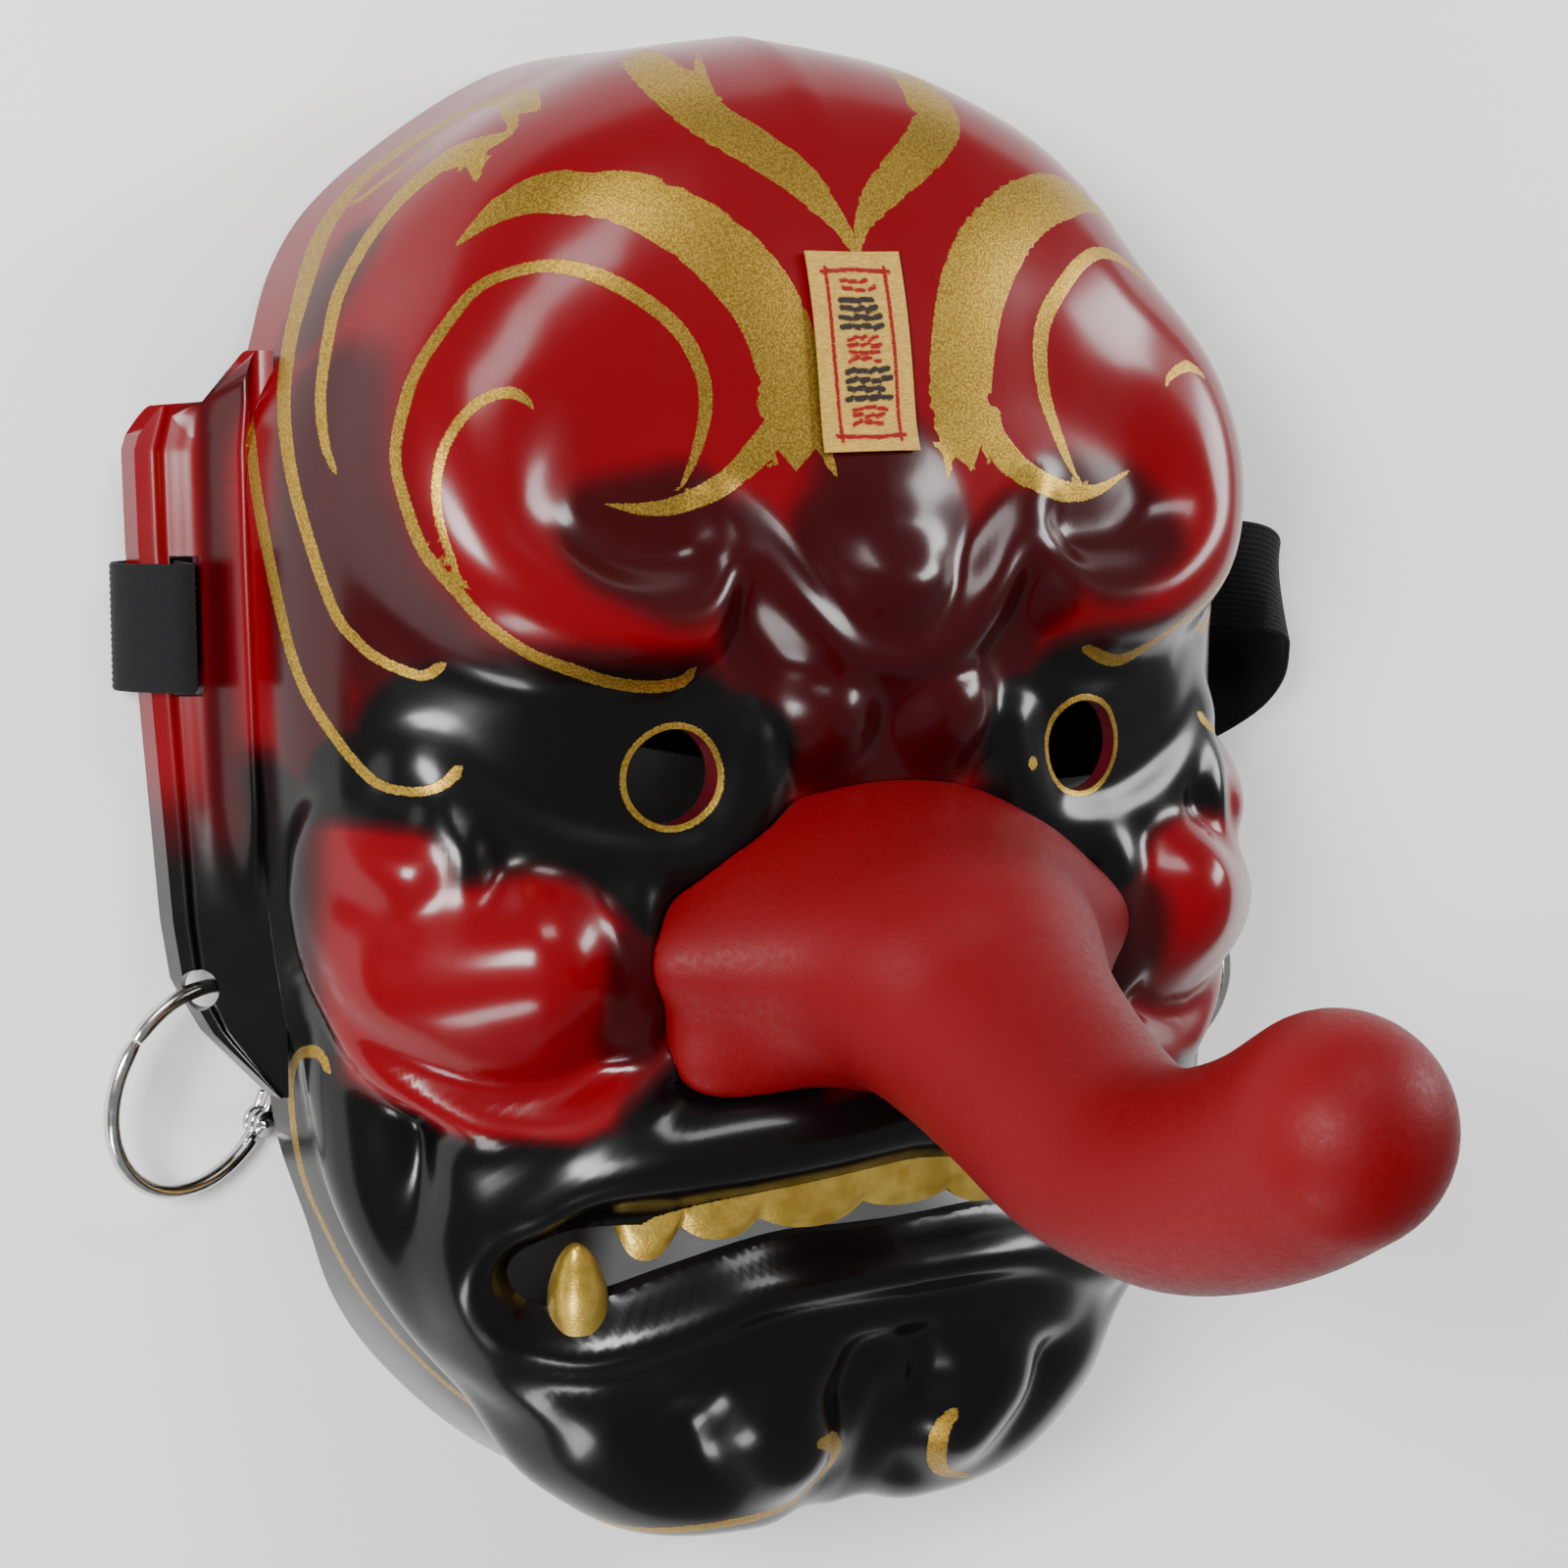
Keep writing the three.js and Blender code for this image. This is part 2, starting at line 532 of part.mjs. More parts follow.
// A band through places [x, y, z], each with the direction of its width where that isn't along Y
function band(path, closed, steps) {
  const smoothLine = (rows) => {
    return new THREE.CatmullRomCurve3(rows, closed, 'catmullrom', 0.5).getPoints(steps);
  };
  const pts = smoothLine(path.map((p) => new THREE.Vector3(p[0], p[1], p[2])));
  const wide = smoothLine(path.map((p) => {
    return new THREE.Vector3(p[3] || 0, p[4] === undefined ? 1 : p[4], p[5] || 0);
  }));
  if (closed) pts.pop();
  const n = pts.length;
  const rows = pts.map((p, i) => {
    const a = closed ? pts[(i + n - 1) % n] : pts[Math.max(0, i - 1)];
    const b = closed ? pts[(i + 1) % n] : pts[Math.min(n - 1, i + 1)];
    const run = b.clone().sub(a).normalize();
    const w = wide[i].clone().addScaledVector(run, -wide[i].dot(run)).normalize();
    const up = run.clone().cross(w).normalize();
    const corner = (s, t) => {
      return p.clone().addScaledVector(w, s * STRAP_W / 2).addScaledVector(up, t * STRAP_T / 2);
    };
    return [corner(-1, 1), corner(1, 1), corner(1, -1), corner(-1, -1)];
  });
  const points = rows.flat();
  const tris = [];
  const last = closed ? n : n - 1;
  for (let i = 0; i < last; i++) {
    for (let k = 0; k < 4; k++) {
      const a = 4 * i + k;
      const b = 4 * i + (k + 1) % 4;
      const c = 4 * ((i + 1) % n) + k;
      const d = 4 * ((i + 1) % n) + (k + 1) % 4;
      tris.push([a, b, c], [b, d, c]);
    }
  }
  if (!closed) {
    const e = 4 * (n - 1);
    tris.push([0, 2, 1], [0, 3, 2], [e, e + 1, e + 2], [e, e + 2, e + 3]);
  }
  return solid(points, tris);
}

function strap() {
  const y = SLOT_Y;
  // places of a loop are counted outward from the slot
  const ring = (side, rows) => band(rows.map(([x, z]) => [side * (SLOT_X + x), y, z]), true, 24);
  const fold = SLOT_X - 10.4;
  const left = ring(-1, [[0, 13], [0.6, 17], [3.9, 16.4], [8, 11.6], [9.2, 6.8], [6.4, 2.8], [-0.6, 1.8],
    [-7.6, 1.6], [-10.4, 3], [-7.6, 4.5], [-3.1, 5.6], [-0.6, 8.5]]);
  const right = ring(1, [[0, 13], [0.6, 17], [3.9, 17], [8.4, 13.4], [11.4, 9.4], [8.4, 5], [4.9, 2.4],
    [0.2, 3.2], [-0.7, 8.5]]);
  const tail = band([
    [-fold, y, 3], [7.2 - fold, y, 2.2], [25.2 - fold, y - 2, 1.1], [-20, 10, STRAP_LOW], [30, 0, STRAP_LOW],
    [70, -4, 1.1],
    [88, -4.5, 1.5], [102, -3, 2.4], [114, 2, 5, 0, 0.95, -0.2], [122, 8.5, 9, 0.25, 0.75, -0.5],
    [124.5, 15, 13, 0.4, 0.55, -0.7], [120, 20.5, 15.6, 0.2, 0.9, -0.3], [113, y, 13.6],
    [SLOT_X + 11.4, y, 9.4],
  ], false, 38);
  return left.add(right).add(tail);
}

// Hinged rings below the ears
const RING_R = 17.2;            // to the middle of the wire
const RING_WIRE = 1.35;
const RING_TURN = -18 * Math.PI / 180;   // the ring's flat turns back from the face
const RING_DROP = 12 * Math.PI / 180;    // and its lower end sinks to the table
const CLOSURE = 140 * Math.PI / 180;
const HINGE = -32 * Math.PI / 180;
const PLATE_T = 0.8;
const TONGUE_T = 1.2;
const HINGE_R = 2.3;
const PIN_R = 0.8;

function ringFrame(side) {
  const right = new THREE.Vector3(Math.cos(RING_TURN), 0, Math.sin(RING_TURN));
  const up = new THREE.Vector3(0, Math.cos(RING_DROP), Math.sin(RING_DROP));
  const out = right.clone().cross(up).normalize();
  right.copy(up.clone().cross(out)).normalize();
  const middle = new THREE.Vector3(-RING_HOLE.x, RING_HOLE.y, RING_HOLE.z).addScaledVector(up, -RING_R);
  const at = (a, r = RING_R, n = 0) => {
    const p = middle.clone().addScaledVector(right, r * Math.cos(a)).addScaledVector(up, r * Math.sin(a))
      .addScaledVector(out, n);
    p.x *= -side;
    return p;
  };
  return at;
}

function wire(at, from, to, steps) {
  const rows = [];
  for (let i = 0; i <= steps; i++) {
    const a = lerp(from, to, i / steps);
    rows.push(Array.from({ length: 6 }, (_, k) => {
      const q = k / 6 * 2 * Math.PI;
      return at(a, RING_R + RING_WIRE * Math.cos(q), RING_WIRE * Math.sin(q));
    }));
  }
  return wrap(rows);
}

function ringHalves(side) {
  const at = ringFrame(side);
  const gap = FIT / RING_R;
  const pull = (HINGE_R + FIT) / RING_R;
  const sides = 8;
  const plate = (n0, n1, r) => pin(at(HINGE, RING_R, n0), at(HINGE, RING_R, n1), r, r, sides);
  const inner = TONGUE_T / 2 + FIT;
  let arm = wire(at, HINGE + pull, CLOSURE - gap / 2, 9);
  const arc = (r0, r1, a0, a1, n0, n1) => {
    const rows = [];
    for (let i = 0; i <= 3; i++) {
      const a = lerp(a0, a1, i / 3);
      rows.push([at(a, r0, n0), at(a, r1, n0), at(a, r1, n1), at(a, r0, n1)]);
    }
    return wrap(rows);
  };
  for (const s of [-1, 1]) {
    arm = arm.add(plate(s * inner, s * (inner + PLATE_T), HINGE_R));
    arm = arm.add(arc(RING_R - RING_WIRE, RING_R + RING_WIRE, HINGE, HINGE + 2 * pull,
      s * inner, s * (inner + PLATE_T)));
  }
  arm = arm.add(plate(-inner - PLATE_T / 2, inner + PLATE_T / 2, PIN_R));
  const back = 2 * Math.PI + HINGE;
  let gate = wire(at, CLOSURE + gap / 2, back - 1.25 * pull, 9);
  gate = gate.add(arc(RING_R - RING_WIRE, RING_R + RING_WIRE, back - 1.6 * pull, back,
    -TONGUE_T / 2, TONGUE_T / 2));
  gate = gate.add(plate(-TONGUE_T / 2, TONGUE_T / 2, HINGE_R));
  gate = gate.subtract(plate(-3, 3, PIN_R + FIT));
  return [arm, gate];
}

function mesh(body, name, colour, roughness, metalness) {
  const m = body.getMesh();
  const pos = new Float32Array(m.numVert * 3);
  for (let i = 0; i < m.numVert; i++) {
    for (let k = 0; k < 3; k++) pos[3 * i + k] = m.vertProperties[i * m.numProp + k];
  }
  const geo = new THREE.BufferGeometry();
  geo.setAttribute('position', new THREE.BufferAttribute(pos, 3));
  geo.setIndex([...m.triVerts]);
  geo.computeVertexNormals();
  const out = new THREE.Mesh(geo, new THREE.MeshStandardMaterial({ color: colour, roughness, metalness }));
  out.name = name;
  return out;
}

const mask = new THREE.Group();
mask.name = 'tengu_mask';
mask.add(mesh(maskShell(), 'mask_shell', 0x8f0d16, 0.22, 0));
mask.add(mesh(nose(), 'nose', 0xb3141d, 0.6, 0));
mask.add(mesh(label(), 'talisman_label', 0xc8ab70, 0.7, 0));
mask.add(mesh(strap(), 'elastic_strap', 0x0c0c0d, 0.85, 0));
for (const [side, word] of [[-1, 'left'], [1, 'right']]) {
  const [arm, gate] = ringHalves(side);
  mask.add(mesh(arm, `ring_${word}_arm`, 0xb9b9bd, 0.2, 1));
  mask.add(mesh(gate, `ring_${word}_gate`, 0xb9b9bd, 0.2, 1));
}

// The middle of the whole, at table level, is the zero point
const box = new THREE.Box3().setFromObject(mask);
const middle = box.getCenter(new THREE.Vector3());
for (const piece of mask.children) piece.geometry.translate(-middle.x, -middle.y, -box.min.z);

export default mask;
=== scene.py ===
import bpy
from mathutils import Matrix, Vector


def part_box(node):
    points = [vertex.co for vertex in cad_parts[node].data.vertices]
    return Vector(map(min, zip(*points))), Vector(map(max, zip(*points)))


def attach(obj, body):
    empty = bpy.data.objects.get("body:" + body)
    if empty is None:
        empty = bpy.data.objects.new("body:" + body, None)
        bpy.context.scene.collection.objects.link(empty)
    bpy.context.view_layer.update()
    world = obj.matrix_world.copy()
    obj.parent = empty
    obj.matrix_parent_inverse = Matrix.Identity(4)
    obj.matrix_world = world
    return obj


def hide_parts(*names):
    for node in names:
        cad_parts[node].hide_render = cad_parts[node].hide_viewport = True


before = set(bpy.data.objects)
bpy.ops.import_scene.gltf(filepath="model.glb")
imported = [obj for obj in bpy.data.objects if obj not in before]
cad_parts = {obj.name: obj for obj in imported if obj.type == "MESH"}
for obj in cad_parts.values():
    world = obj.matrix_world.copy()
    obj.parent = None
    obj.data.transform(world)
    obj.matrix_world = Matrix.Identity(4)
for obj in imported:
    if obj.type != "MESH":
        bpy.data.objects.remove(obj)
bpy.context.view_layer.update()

import bpy
import numpy as np
from math import cos, exp, pi, radians, sin, sqrt
from mathutils import Matrix, Vector, kdtree

# The face is laid out in millimetres round the eyes; SHIFT carries it to the table frame.
CENTRE_Y, DOME = -12.0, 65.0
BULGE_ACROSS, BULGE_UP, RIM_LIFT, WALL = 2.3, 4.0, 12.0, 2.8
SHELL_LOW, SHELL_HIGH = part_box("mask_shell")
STRAP_Y, STRAP_W = 22.5, 20.0
SHIFT = ((SHELL_LOW[0] + SHELL_HIGH[0]) * 500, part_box("elastic_strap")[1][1] * 1000 - STRAP_Y - STRAP_W / 2, 0.0)
OUTLINE = [(0, 115.5), (31, 111), (59, 95), (75, 79), (83.5, 65), (88.5, 50), (88.5, 30), (88, 0), (86, -30),
           (83, -51), (79.8, -66), (69.5, -89), (49, -113.5), (26.5, -128.5), (0, -133.5)]

# Raised forms of one half: how softly each melts into the rest, and its chain of (out, up, radius, height)
FORMS = {
    "muzzle": (6, [(0, -70, 50, 9), (30, -76, 36, 7)]),
    "forehead": (8, [(0, 42, 34, 1.6), (40, 52, 38, 3.5)]),
    "crown": (8, [(0, 94, 28, 1.4), (42, 86, 27, 5.5)]),
    "brow": (5.5, [
        (52, 69, 21, 5.5), (63, 60.5, 19, 8), (68.8, 48.3, 17, 9.5), (68, 37, 14.5, 11), (62.4, 29, 13, 12.5),
        (50.9, 23.6, 11, 12.5), (38.5, 23.6, 9.5, 11), (32.5, 27.5, 6.5, 9.5), (29, 33.5, 4.5, 6.5)]),
    "glabella": (5, [(0, 37, 16, 5.5), (0, 29, 16, 9.5)]),
    "frown": (5, [
        (31, 41, 5, 4.5), (24.5, 33, 6.5, 7), (18, 25.5, 7, 8.4), (9.8, 17.5, 7, 8), (0, 14.5, 6.5, 7.2)]),
    "bridge": (6, [(11.5, 8, 10, 7.6)]),
    "eyeball": (5, [(42, 2, 19, 3.6), (56, 5, 14, 2.2)]),
    "upper_lid": (3, [(60, 13.8, 4, 2.2), (51, 10.4, 4, 2.6), (44, 7.6, 4, 3.4), (36, 6.5, 4, 3)]),
    "lower_lid": (5, [
        (75.9, 0.9, 6.5, 2.6), (67.8, -5.6, 6.5, 4.4), (57.5, -11, 6.5, 5.2), (46.8, -13.8, 6.5, 5.4),
        (37, -14.5, 7, 5.4), (29.5, -12, 7.5, 5.6), (25, -4, 7.5, 5.6), (24.5, 4, 6, 4.4)]),
    "small_cheek": (5, [(90.4, -9, 7.5, 5), (78, -14, 9.5, 8.5)]),
    "cheek_crescent": (4, [
        (74, -5.4, 4.4, 5.8), (70.3, -10.5, 4.6, 8.2), (71, -17, 4.6, 8.2), (77.1, -23.5, 4.4, 7.3)]),
    "cheek_field": (5, [
        (95, -13, 5, 4), (89, -22, 8.5, 6), (79, -32, 10.5, 8.5), (64, -34, 15, 10), (52, -32, 12, 9.5)]),
    "cheek": (5, [(79, -28.8, 11.5, 9.5), (61, -27, 16, 16)]),
    "cheek_wing": (5, [(46, -21, 8, 8.2), (44.5, -30, 8, 8.8), (45.5, -38, 7.5, 8.4)]),
    "cheek_rim": (3, [
        (97, -18, 4, 4), (93.5, -29, 4.4, 5), (86.5, -39, 4.4, 6), (79.5, -45.5, 4.6, 7), (68, -51.2, 4.8, 8),
        (57, -51.6, 4.8, 8.5), (46.5, -47.8, 4.8, 9), (38, -43, 4.6, 9)]),
    "upper_lip": (4, [
        (60, -66, 5, 10), (51.2, -60, 8, 13), (38, -57, 11, 16), (18, -55, 12, 18), (0, -54.5, 11, 17)]),
    "mouth_corner": (4, [(59, -65.5, 5.5, 10), (66, -70.5, 6, 10), (67.5, -78, 6, 10), (62, -86, 6, 10)]),
    "lower_lip": (4, [
        (61, -86, 5.4, 10.5), (51, -88.5, 6.4, 12.5), (40, -85.5, 6.8, 14), (24, -80, 7, 15.2), (0, -79, 7, 15.8)]),
    "lower_lip_roll": (4, [
        (66, -90, 5.6, 8.2), (54, -96, 7, 10.2), (41, -94, 7.4, 11.7), (27, -88.5, 7.4, 12.6), (0, -87, 7, 12.2)]),
    "chin_ball": (3, [(16.5, -107, 14.5, 17.5), (20.5, -101, 16, 17.5)]),
    "chin_middle": (4, [(0, -98, 10, 12.5), (0, -112, 10, 13), (0, -122, 8, 11)]),
    "chin_ridge": (5, [(44, -101, 8, 9.5), (33, -94, 8, 12), (12, -93.5, 8, 12.5)]),
    "chin_side": (6, [(46, -106, 17, 14), (33, -114, 16, 14.5), (14, -119, 12, 12)]),
    "jaw_outer": (6, [(89.1, -52.8, 9, 4), (84, -69.5, 9, 6), (72, -87, 9, 7), (56, -104, 9, 7.5)]),
    "jaw_inner": (5, [
        (67, -57.2, 7.5, 6), (71, -68.4, 7.5, 8), (67.5, -82, 7.5, 9), (57, -95, 7.5, 9.5), (47, -102, 7.5, 10)]),
    "lip_fold": (4, [(45, -50, 7, 9.3), (58.3, -57, 7, 9), (66.5, -64.5, 6, 9)]),
}

# Grooves of one half: chains of (out, up, radius, depth)
GROOVES = {
    "cleft": [(0, -96, 2.4, 2.5), (0, -104, 3.2, 4.5), (0, -114, 3.2, 5), (0, -126, 3, 3.5)],
    "jaw_slit": [(77.6, -54, 1.8, 1.6), (75.4, -62, 2.2, 2.6), (75, -69.5, 1.6, 1.4)],
    "bridge_fold": [(14, 14.5, 2, 1.5), (0, 11.5, 2.5, 1.5)],
}
ROUNDNESS, LOWEST = 2.4, -8.0
INNER_SHRINK, INNER_SHARE = 2.2, 0.92
RIM_FADE = 0.86
ROWS, COLUMNS, INNER_ROWS = ((158, 336, 64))
MM = 0.001


def smooth(x, a, b):
    t = np.clip((x - a) / (b - a), 0, 1)
    return t * t * (3 - 2 * t)


def melt_max(a, b, k):
    h = np.maximum(k - np.abs(a - b), 0) / k
    return np.maximum(a, b) + h * h * k / 4


def curve_through(points, steps=12):
    """Catmull-Rom curve through rows of numbers, all columns alike."""
    p = np.array(points, float)
    q = np.vstack([2 * p[0] - p[1], p, 2 * p[-1] - p[-2]])
    t = np.linspace(0, 1, steps, endpoint=False)[:, None]
    out = []
    for a, b, c, d in zip(q, q[1:], q[2:], q[3:]):
        bend, twist = 2 * a - 5 * b + 4 * c - d, 3 * b - a - 3 * c + d
        out.append(0.5 * (2 * b + (c - a) * t + bend * t**2 + twist * t**3))
    return np.vstack(out + [p[-1:]])


def segments(chain):
    return list(zip(chain, chain[1:])) or [(chain[0], chain[0])]


def along_segment(a, b, u, v):
    dx, dy = b[0] - a[0], b[1] - a[1]
    length = dx * dx + dy * dy
    t = np.clip(((u - a[0]) * dx + (v - a[1]) * dy) / length, 0, 1) if length > 0 else np.zeros_like(u)
    return t, np.hypot(u - a[0] - dx * t, v - a[1] - dy * t)


def chain_height(chain, u, v, shrink=0.0, share=1.0):
    best = np.full_like(u, LOWEST)
    for a, b in segments(curve_through(chain, 4) if len(chain) > 2 else chain):
        t, away = along_segment(a, b, u, v)
        r = np.maximum(1.2, a[2] + (b[2] - a[2]) * t - shrink)
        h = (a[3] + (b[3] - a[3]) * t) * share
        best = np.maximum(best, h * (1 - (away / r) ** ROUNDNESS))
    return np.maximum(best, LOWEST)


def relief(u, v, shrink=0.0, share=1.0):
    side = np.abs(u)
    d = np.zeros_like(u)
    for melt, chain in FORMS.values():
        d = melt_max(d, chain_height(chain, side, v, shrink, share), melt)
    for chain in GROOVES.values():
        d = d - np.maximum(0, chain_height(chain, side, v, 0, share))
    return d


def even_relief(u, v, shrink=0.0, share=1.0):
    """The same relief evened out over a small patch, as paint and moulding round every fold."""
    total = 2 * relief(u, v, shrink, share)
    for reach, weight, start in ((1.1, 1.0, 0.0), (2.3, 0.6, 0.5)):
        for a in (start + np.arange(6)) * pi / 3:
            total = total + weight * relief(u + reach * cos(a), v + reach * sin(a), shrink, share)
    return total / (2 + 6 * 1.6)


_half = curve_through(OUTLINE, 24)
_bearing = np.arctan2(_half[:, 0], _half[:, 1] - CENTRE_Y)
_reach = np.hypot(_half[:, 0], _half[:, 1] - CENTRE_Y)


def rim_radius(phi):
    return np.interp(np.abs((phi + pi) % (2 * pi) - pi), _bearing, _reach)


def rim_lift(y):
    return RIM_LIFT * smooth(y, -104, -72) * (1 - smooth(y, 62, 88))


QUARTER = np.linspace(0, pi / 2, 161)


def meridians(phi):
    """Tables of run, radius and height of the plain dome down each meridian."""
    reach = rim_radius(phi)[:, None]
    foot = rim_lift(CENTRE_Y + reach[:, 0] * np.cos(phi))[:, None]
    r = reach * np.sin(QUARTER) ** (2 / BULGE_ACROSS)
    z = foot + (DOME - foot) * np.clip(np.cos(QUARTER), 0, 1) ** (2 / BULGE_UP)
    run = np.pad(np.cumsum(np.hypot(np.diff(r), np.diff(z)), axis=1), ((0, 0), (1, 0)))
    return run, r, z


def dome(phi, run_at):
    """Points, outward directions and the layout place (u, v) for runs down the meridians; one row a meridian."""
    run, r, z = meridians(phi)
    pick = lambda s: [np.stack([np.interp(*row) for row in zip(s, run, table)]) for table in (r, z)]
    whole = run[:, -1:]
    rr, zz = pick(run_at)
    r0, z0 = pick(np.clip(run_at - 1.5, 0, whole))
    r1, z1 = pick(np.clip(run_at + 1.5, 0, whole))
    size = np.hypot(r1 - r0, z1 - z0)
    nr, nz = -(z1 - z0) / size, (r1 - r0) / size
    sx, sy = np.sin(phi)[:, None], np.cos(phi)[:, None]
    at = np.stack([rr * sx, CENTRE_Y + rr * sy, zz], -1)
    out = np.stack([nr * sx, nr * sy, nz], -1)
    return at, out, run_at * sx, CENTRE_Y + run_at * sy, run_at / whole


def on_face(u, v, lift):
    """Point over the plain dome at layout places u, v."""
    u, v, lift = np.broadcast_arrays(u, v, lift)
    flat = [a.ravel() for a in (u, v, lift)]
    phi = np.arctan2(flat[0], flat[1] - CENTRE_Y)
    at, out, _, _, _ = dome(phi, np.hypot(flat[0], flat[1] - CENTRE_Y)[:, None])
    return (at[:, 0] + out[:, 0] * flat[2][:, None]).reshape(u.shape + (3,))


def put_in_scene(name, data):
    obj = bpy.data.objects.new(name, data)
    bpy.context.scene.collection.objects.link(obj)
    return obj


def new_object(name, points, faces, smooth_shade=True, finish=None, edges=()):
    """Mesh from millimetre points; finish picks one of the shell's finishes for all its faces."""
    mesh = bpy.data.meshes.new(name)
    mesh.from_pydata([tuple((p + np.array(SHIFT)) * MM) for p in np.asarray(points, float)], edges, faces)
    mesh.update()
    if finish is not None:
        for material in SHELL_FINISHES:
            mesh.materials.append(material)
    for face in mesh.polygons:
        face.use_smooth = smooth_shade
        if finish is not None:
            face.material_index = finish
    return put_in_scene(name, mesh)


def wrap(rows, first=None, last=None):
    """Closed skin from rows of points that each run round; the ends close with fans."""
    rows = [np.asarray(r, float) for r in rows]
    n = len(rows[0])
    ends = [rows[0].mean(0) if first is None else first, rows[-1].mean(0) if last is None else last]
    points = np.vstack(rows + ends)
    faces = []
    for i in range(len(rows) - 1):
        for j in range(n):
            a, b = i * n + j, i * n + (j + 1) % n
            faces.append((a, a + n, b + n, b))
    a0 = len(rows) * n
    end = (len(rows) - 1) * n
    for j in range(n):
        faces.append((a0, j, (j + 1) % n))
        faces.append((a0 + 1, end + (j + 1) % n, end + j))
    if signed_volume(points, faces) < 0:
        faces = [f[::-1] for f in faces]
    return points, faces


def signed_volume(points, faces):
    total = 0.0
    for size in (3, 4):
        f = np.array([x for x in faces if len(x) == size])
        for k in range(1, size - 1):
            total += np.einsum("ij,ij->", points[f[:, 0]], np.cross(points[f[:, k]], points[f[:, k + 1]]))
    return total


def join_boolean(base, other, how):
    mod = base.modifiers.new(how, "BOOLEAN")
    mod.operation, mod.solver, mod.object = how, "MANIFOLD", other
    graph = bpy.context.evaluated_depsgraph_get()
    mesh = bpy.data.meshes.new_from_object(base.evaluated_get(graph))
    base.modifiers.remove(mod)
    base.data = mesh
    bpy.data.objects.remove(other)


def unite(base, shape, finish=None):
    join_boolean(base, new_object("added", *shape, finish=finish), "UNION")


def cut(base, shape, finish=None):
    join_boolean(base, new_object("cutter", *shape, finish=finish), "DIFFERENCE")


def bar(start, end, radius, sides=32, rings=((0, 1), (1, 1))):
    """Round bar; rings are (share of its length, share of its radius)."""
    axis = np.array(end, float) - np.array(start, float)
    length = np.linalg.norm(axis)
    axis /= length
    side = np.cross([0, 1, 0] if abs(axis[1]) < 0.7 else [1, 0, 0], axis)
    side /= np.linalg.norm(side)
    up = np.cross(axis, side)
    a = np.linspace(0, 2 * pi, sides, endpoint=False)[:, None]
    rows = []
    for t, k in rings:
        rows.append(np.array(start) + axis * length * t + radius * k * (np.cos(a) * side + np.sin(a) * up))
    return wrap(rows)


def blur(grid, passes=2):
    """Even out a grid that runs round in its first direction."""
    for _ in range(passes):
        grid = (np.roll(grid, 1, 0) + 2 * grid + np.roll(grid, -1, 0)) / 4
        padded = np.pad(grid, ((0, 0), (1, 1)), mode="edge")
        grid = (padded[:, :-2] + 2 * grid + padded[:, 2:]) / 4
    return grid


def crown_point(lift=0.0, shrink=0.0, share=1.0):
    """The middle of the face, where all meridians meet."""
    height = even_relief(np.array([0.0]), np.array([CENTRE_Y]), shrink, share)[0]
    return on_face(0.0, CENTRE_Y, height + lift)


# The face
def face_rows():
    phi = np.linspace(0, 2 * pi, COLUMNS, endpoint=False)
    whole = meridians(phi)[0][:, -1:]
    at, out, u, v, share = dome(phi, whole * np.arange(1, ROWS + 1) / ROWS)
    skin = at + out * blur(even_relief(u, v) * (1 - smooth(share, RIM_FADE, 1)))[..., None]
    at, out, u_in, v_in, share = dome(phi, whole * np.arange(INNER_ROWS, 0, -1) / INNER_ROWS)
    height = even_relief(u_in, v_in, INNER_SHRINK, INNER_SHARE) * (1 - smooth(share, RIM_FADE, 1))
    inner = at + out * (height - WALL)[..., None]
    inner[:, 0, 2] = skin[:, -1, 2]
    return skin, u, v, inner


EAR_TIP, EAR_FOOT, EAR_ROOT, EAR_LOW, EAR_SLOPE, EAR_THICK = 57.3, -52.0, 84.6, 8.0, 0.9, 3.8
EAR_NOTCH, EAR_RISE = 0.53, 13.5
EAR_EDGE = [(-52, 86), (-49.4, 88.1), (-42, 94), (-34, 97.6), (-24.5, 98.7), (6.8, 100.4), (34.6, 101.8),
            (50, 102), (EAR_TIP, 100.2)]
EAR_FAR = 102.0
RING_HOLE_X, RING_HOLE_Y, RING_HOLE_R = 94.3, -35.0, 3.25
RING_HOLE = np.array([RING_HOLE_X, RING_HOLE_Y, EAR_LOW + (EAR_FAR - RING_HOLE_X) * EAR_SLOPE - EAR_THICK / 2])
SLOT_X, SLOT_HALF_W, SLOT_HALF_L = 95.6, 2, 11
EYE_X, EYE_R = 39, 7.5


def ear_edge(y):
    return np.interp(y, *zip(*EAR_EDGE))


def ear(side):
    across = np.linspace(0, 1, 46)
    steps = 80
    rows = []
    for j in range(steps + 1):
        head = EAR_TIP - 5.5 * (1 - smooth(across, EAR_NOTCH, 0.92))
        head = head + EAR_RISE * smooth(across, EAR_NOTCH, 0.12)
        head = head - 5 * np.clip((across - 0.84) / 0.16, 0, 1) ** 2
        y = EAR_FOOT + (head - EAR_FOOT) * sin(j / steps * pi / 2)
        x = EAR_ROOT + (ear_edge(y) - EAR_ROOT) * across
        plain = EAR_LOW + (EAR_FAR - x) * EAR_SLOPE
        upper = smooth(y, -24, -4)
        rise = 1.5 * smooth(across, 0.76, 0.88) + upper * 2.6 * np.exp(-((across - 0.28) / 0.1) ** 2)
        rise = rise - upper * 0.9 * np.exp(-((across - 0.55) / 0.13) ** 2)
        low = np.maximum(np.where(across < 0.1, RIM_LIFT, 3.8), plain - EAR_THICK)
        top = np.stack([side * x, y, plain + rise], -1)
        under = np.stack([side * x, y, low], -1)
        rows.append(np.vstack([top, under[::-1]]))
    return wrap(rows)


MOUTH = [(15, -69.6), (32, -70.6), (48, -69.8), (57, -70.8), (62.5, -74.5), (61.5, -79.5), (56.5, -82.8),
         (48.3, -81.8), (37, -77.8), (21, -74), (7, -73.8)]
